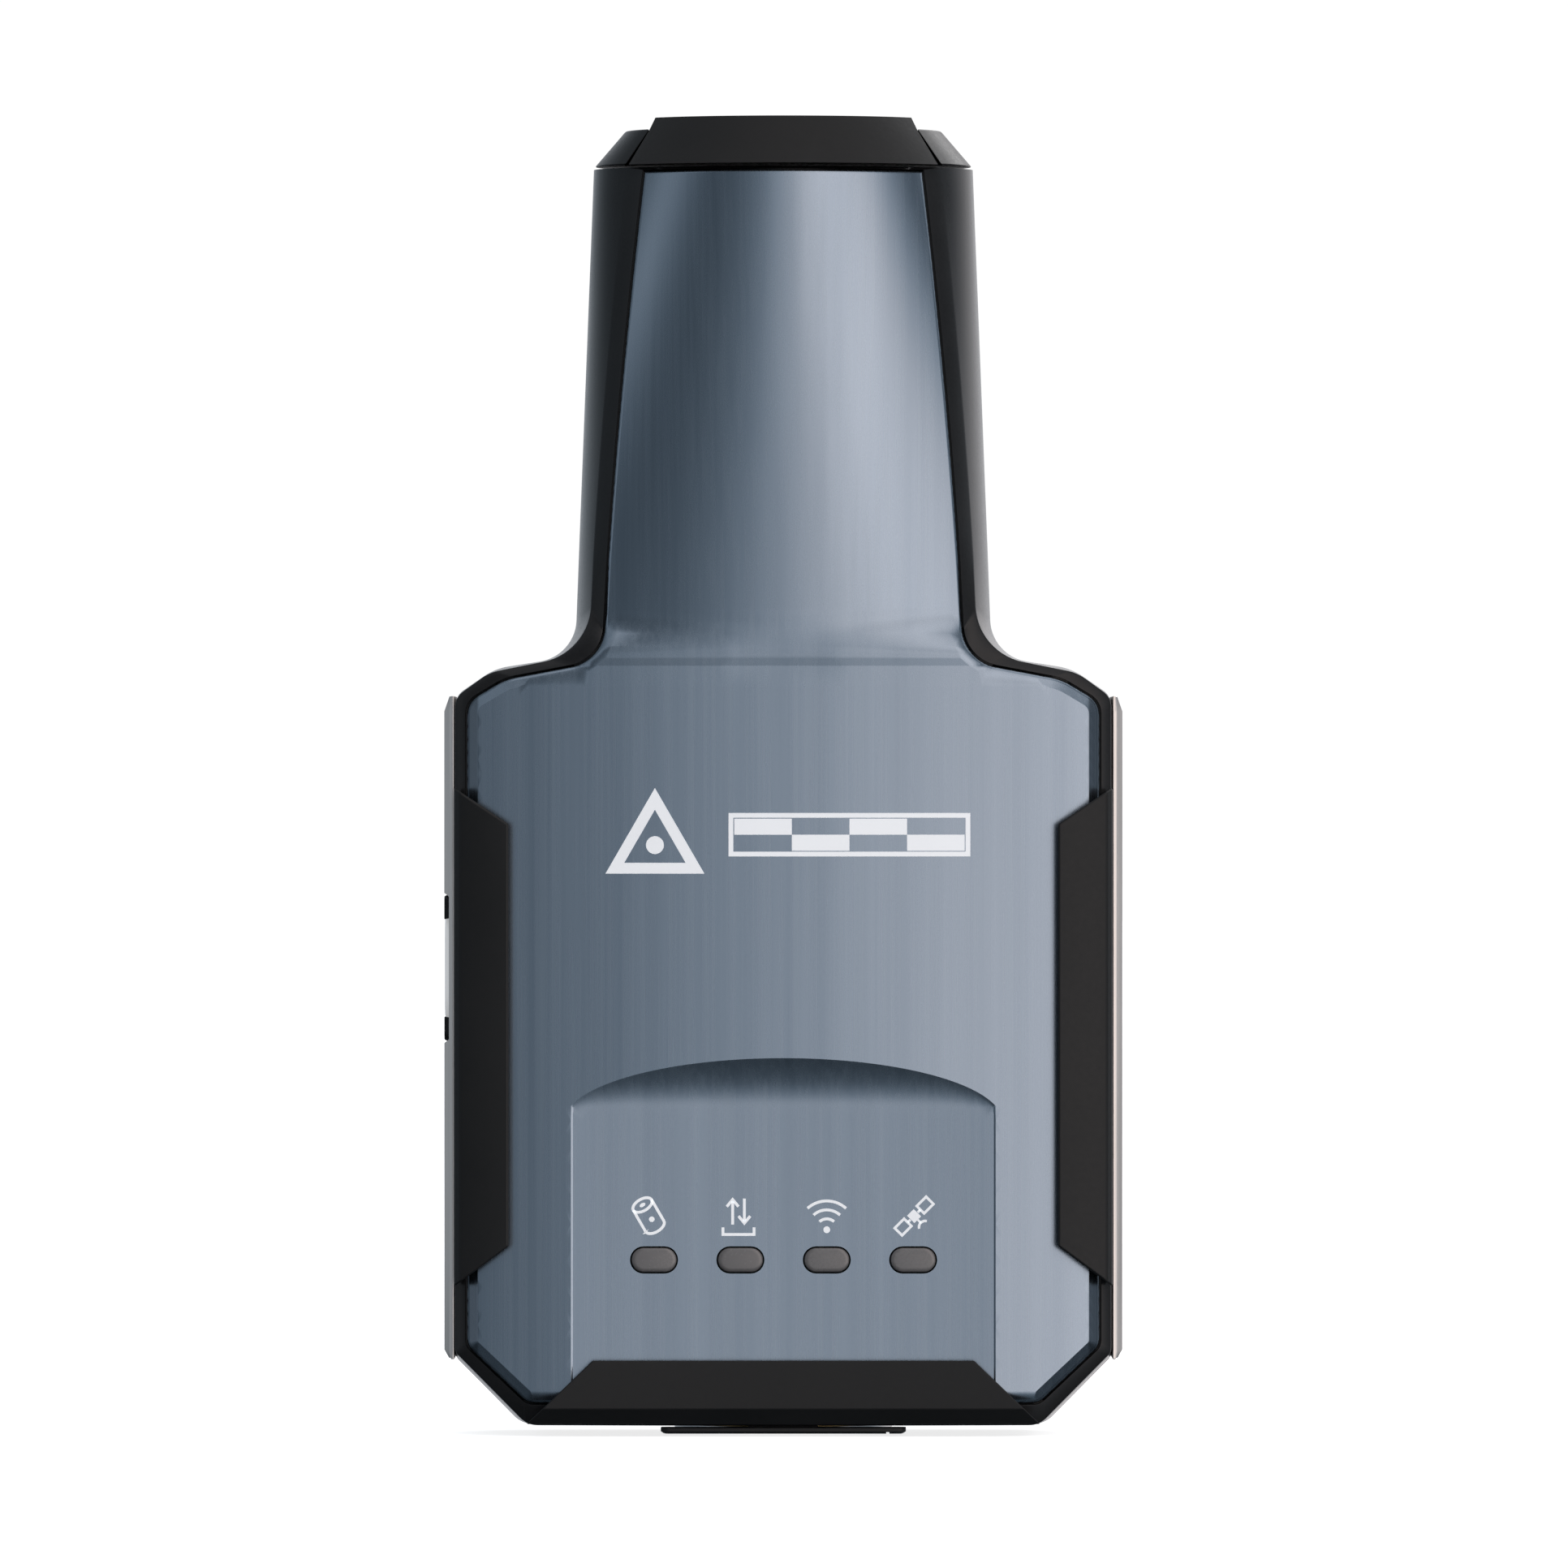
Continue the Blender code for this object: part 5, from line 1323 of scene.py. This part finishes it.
def thread_insert():
    """Insert with ring-shaped thread ridges inside its bore."""
    ridge_r = THREAD_R + 0.02
    profile = [(9.7, INSERT_TOP), (9.7, 0.1), (9.6, 0.0), (THREAD_R + 0.75, 0.0)]
    z = 0.75
    while z < 12.6:
        profile += [(ridge_r, z), (THREAD_R + 0.55, z + THREAD_PITCH / 2)]
        z += THREAD_PITCH
    profile += [(ridge_r, z), (ridge_r, INSERT_TOP)]
    return turned("pole_thread", profile, smooth=20.0)


def port_flap():
    low_y, high_y = FLAP_Y
    # height, inset of the corner arcs
    stations = ((0.1, 0.5), (0.16, 0.28), (0.36, 0.0), (0.7, 0.0))
    rows = [[(x, y, z) for x, y in rounded_rect((-FLAP_HALF_W, low_y), (FLAP_HALF_W, high_y),
                                                0.9, 6, inset)] for z, inset in stations]
    flap = loft("port_cover_flap", rows)
    plug = box("tool", (-3.7, PORT_Y - 0.85, 0.5), (3.7, PORT_Y + 0.85, 2.7))
    cut(flap, [plug], "UNION")
    groove = box("tool", (10.9, low_y - 1, -0.5), (11.25, high_y + 1, 0.28))
    return cut(flap, [groove])


dress(foot_seat(), "aluminium", replaces="foot_plate")
dress(thread_insert(), "brass", replaces="pole_insert")
dress(port_flap(), "black_rubber", body="port_cover", replaces="port_cover")


# -------------------------------------------------------------- back details
def screw(name, centre):
    head = cylinder(name + "_body", 2.3, (16.1, 16.9), "Y", centre, 48)
    bake(bevel(head, 0.15))
    cut(head, [cylinder("tool", 1.15, (-9.0, 16.4), "Y", centre, 32)], "UNION")
    return cut(head, [cylinder("tool", 1.15, (16.35, 18.0), "Y", centre, 6)])


for level, (x, z) in SCREWS.items():
    for side_name, side in SIDES.items():
        name = "screw_%s_%s" % (level, side_name)
        dress(screw(name, (side * x, z)), "steel", replaces=name)

plate = box("rating_plate_blank", (-PLATE_HALF_W, 16.75, PLATE_Z[0]),
            (PLATE_HALF_W, 17.1, PLATE_Z[1]))
dress(bevel(plate, 0.15, segments=2), "silver_label", replaces="rating_plate")

# ------------------------------------------------------------ floor and light
# From here on lengths are in metres.
FLOOR_GLOW = (0.05, 0.75)     # seen by other rays, in front of and behind the object
FLOOR_GLOW_Y = (-0.03, 0.12)  # where that change starts and ends
FLOOR_CAMERA_GLOW = 0.80      # seen by the camera


def floor_material():
    """Pale matt floor, softly lit; seen from underneath it lets the view through."""
    mat = Material("floor_pale")
    pale = mat.ramp(mat.noise(scale=14.0, detail=3.0, rough=0.5),
                    [(0.3, (0.90, 0.90, 0.90)), (0.7, (0.93, 0.93, 0.93))])
    camera_ray = mat.node("ShaderNodeLightPath").outputs["Is Camera Ray"]
    depth = mat.split(mat.coord.outputs["Object"])[1]
    behind = mat.remap(depth, to=FLOOR_GLOW, source=FLOOR_GLOW_Y)
    glow = mat.weighted((camera_ray, FLOOR_CAMERA_GLOW),
                        (mat.math("SUBTRACT", 1.0, camera_ray), behind))
    mat.put(Base_Color=mat.mix(camera_ray, (0.25, 0.25, 0.25), pale), Roughness=0.95,
            Specular_IOR_Level=0.0, Emission_Color=(1.0, 1.0, 1.0), Emission_Strength=glow)
    geometry = mat.node("ShaderNodeNewGeometry")
    clear = mat.node("ShaderNodeBsdfTransparent")
    mix = mat.node("ShaderNodeMixShader")
    mat.link(geometry.outputs["Backfacing"], mix.inputs[0])
    mat.link(mat.bsdf.outputs[0], mix.inputs[1])
    mat.link(clear.outputs[0], mix.inputs[2])
    mat.link(mix.outputs[0], mat.tree.nodes["Material Output"].inputs["Surface"])
    return MATERIALS["floor_pale"]


def studio_floor():
    solid = bmesh.new()
    bmesh.ops.create_circle(solid, cap_ends=True, segments=96, radius=9.0)
    mesh = bpy.data.meshes.new("floor")
    solid.to_mesh(mesh)
    solid.free()
    floor = add_object("studio_floor", mesh)
    floor.location = (0, 0, -0.0002)
    floor.data.materials.append(floor_material())
    floor.visible_glossy = False
    floor.visible_diffuse = False


# Radiance round the horizon: degrees from the camera's side towards +X, value.
AROUND = ((-180, 0.93), (-163, 0.52), (-148, 0.40), (-130, 0.20), (-113, 0.24), (-100, 0.25),
          (-90, 0.40), (-80, 0.62), (-70, 0.46), (-60, 0.22), (-47, 0.14), (-35, 0.17),
          (-20, 0.27), (-10, 0.48), (0, 0.805), (10, 1.20), (20, 1.55), (30, 1.70),
          (42, 1.62), (52, 1.48), (60, 1.16), (68, 0.88), (76, 0.54), (86, 0.23),
          (98, 0.14), (113, 0.32), (130, 0.85), (148, 1.08), (180, 0.93))
# Factor by height: z of the view direction, value.
UPDOWN = ((-1.0, 0.10), (-0.8, 0.11), (-0.55, 0.20), (-0.32, 0.58), (-0.14, 1.24), (0.0, 0.92),
          (0.14, 1.03), (0.30, 1.02), (0.50, 0.86), (0.74, 0.98), (1.0, 1.05))
AROUND_SCALE, UPDOWN_SCALE = 2.2, 1.25   # divisors that bring the ramps below 1
ZENITH = 1.15                            # radiance straight up
COOL_SHADE, WARM_LIGHT = (0.80, 1.0, 1.17), (1.09, 1.0, 0.975)


def studio_world():
    world = bpy.data.worlds.new("studio")
    bpy.context.scene.world = world
    world.use_nodes = True
    sky = Graph(world.node_tree)
    surround = sky.tree.nodes["Background"]
    backdrop = sky.node("ShaderNodeBackground")
    backdrop.inputs["Color"].default_value = (1, 1, 1, 1)
    backdrop.inputs["Strength"].default_value = 1.02
    x, y, z = sky.split(sky.coord.outputs["Generated"])
    azimuth = sky.math("ARCTAN2", x, sky.math("MULTIPLY", y, -1.0))
    turn_part = sky.math("ADD", sky.math("DIVIDE", azimuth, 2 * math.pi), 0.5)
    around = sky.ramp(turn_part, [((a + 180) / 360, (v / AROUND_SCALE,) * 3)
                                  for a, v in AROUND], "B_SPLINE")
    height = sky.math("ADD", sky.math("MULTIPLY", z, 0.5), 0.5)
    updown = sky.ramp(height, [((h + 1) / 2, (v / UPDOWN_SCALE,) * 3) for h, v in UPDOWN])
    top = sky.remap(z, to=(0.0, 1.0), source=(0.88, 1.0), interpolation_type="SMOOTHSTEP")
    level = sky.math("MULTIPLY", sky.math("MULTIPLY", around, updown),
                     AROUND_SCALE * UPDOWN_SCALE)
    radiance = sky.weighted((level, sky.math("SUBTRACT", 1.0, top)), (top, ZENITH))
    sky.link(radiance, surround.inputs["Strength"])
    tint = sky.ramp(sky.math("MULTIPLY", radiance, 0.6),
                    [(0.04, COOL_SHADE), (0.80, WARM_LIGHT)])
    sky.link(tint, surround.inputs["Color"])
    # the camera sees a plain backdrop
    mix = sky.node("ShaderNodeMixShader")
    sky.link(sky.node("ShaderNodeLightPath").outputs["Is Camera Ray"], mix.inputs[0])
    sky.link(surround.outputs[0], mix.inputs[1])
    sky.link(backdrop.outputs[0], mix.inputs[2])
    sky.link(mix.outputs[0], sky.tree.nodes["World Output"].inputs["Surface"])
    world.cycles.sampling_method = "MANUAL"
    world.cycles.sample_map_resolution = 512


def back_light():
    light = bpy.data.lights.new("back_soft", "AREA")
    light.shape = "RECTANGLE"
    light.size = light.size_y = 0.8
    light.energy = 5.0
    place = Vector((0.5, 1.2, 0.9))
    aim = Vector((0, 0, 0.07))
    lamp = add_object("back_soft", light)
    lamp.location = place
    lamp.rotation_euler = (aim - place).to_track_quat("-Z", "Y").to_euler()


def studio_camera():
    distance = 2.4
    plane_y = -0.012          # plane on which the view width is measured
    view_width = 0.16635
    lens_data = bpy.data.cameras.new("camera")
    camera = add_object("camera", lens_data)
    camera.location = (0.00007, plane_y - distance, 0.06897)
    camera.rotation_euler = (math.radians(90), 0, 0)
    lens_data.sensor_fit = "HORIZONTAL"
    lens_data.sensor_width = 36.0
    lens_data.lens = 36.0 * distance / view_width
    lens_data.clip_end = 20.0
    bpy.context.scene.camera = camera


studio_floor()
studio_world()
back_light()
studio_camera()
bpy.context.scene.view_settings.view_transform = "Standard"
bpy.context.scene.view_settings.look = "None"
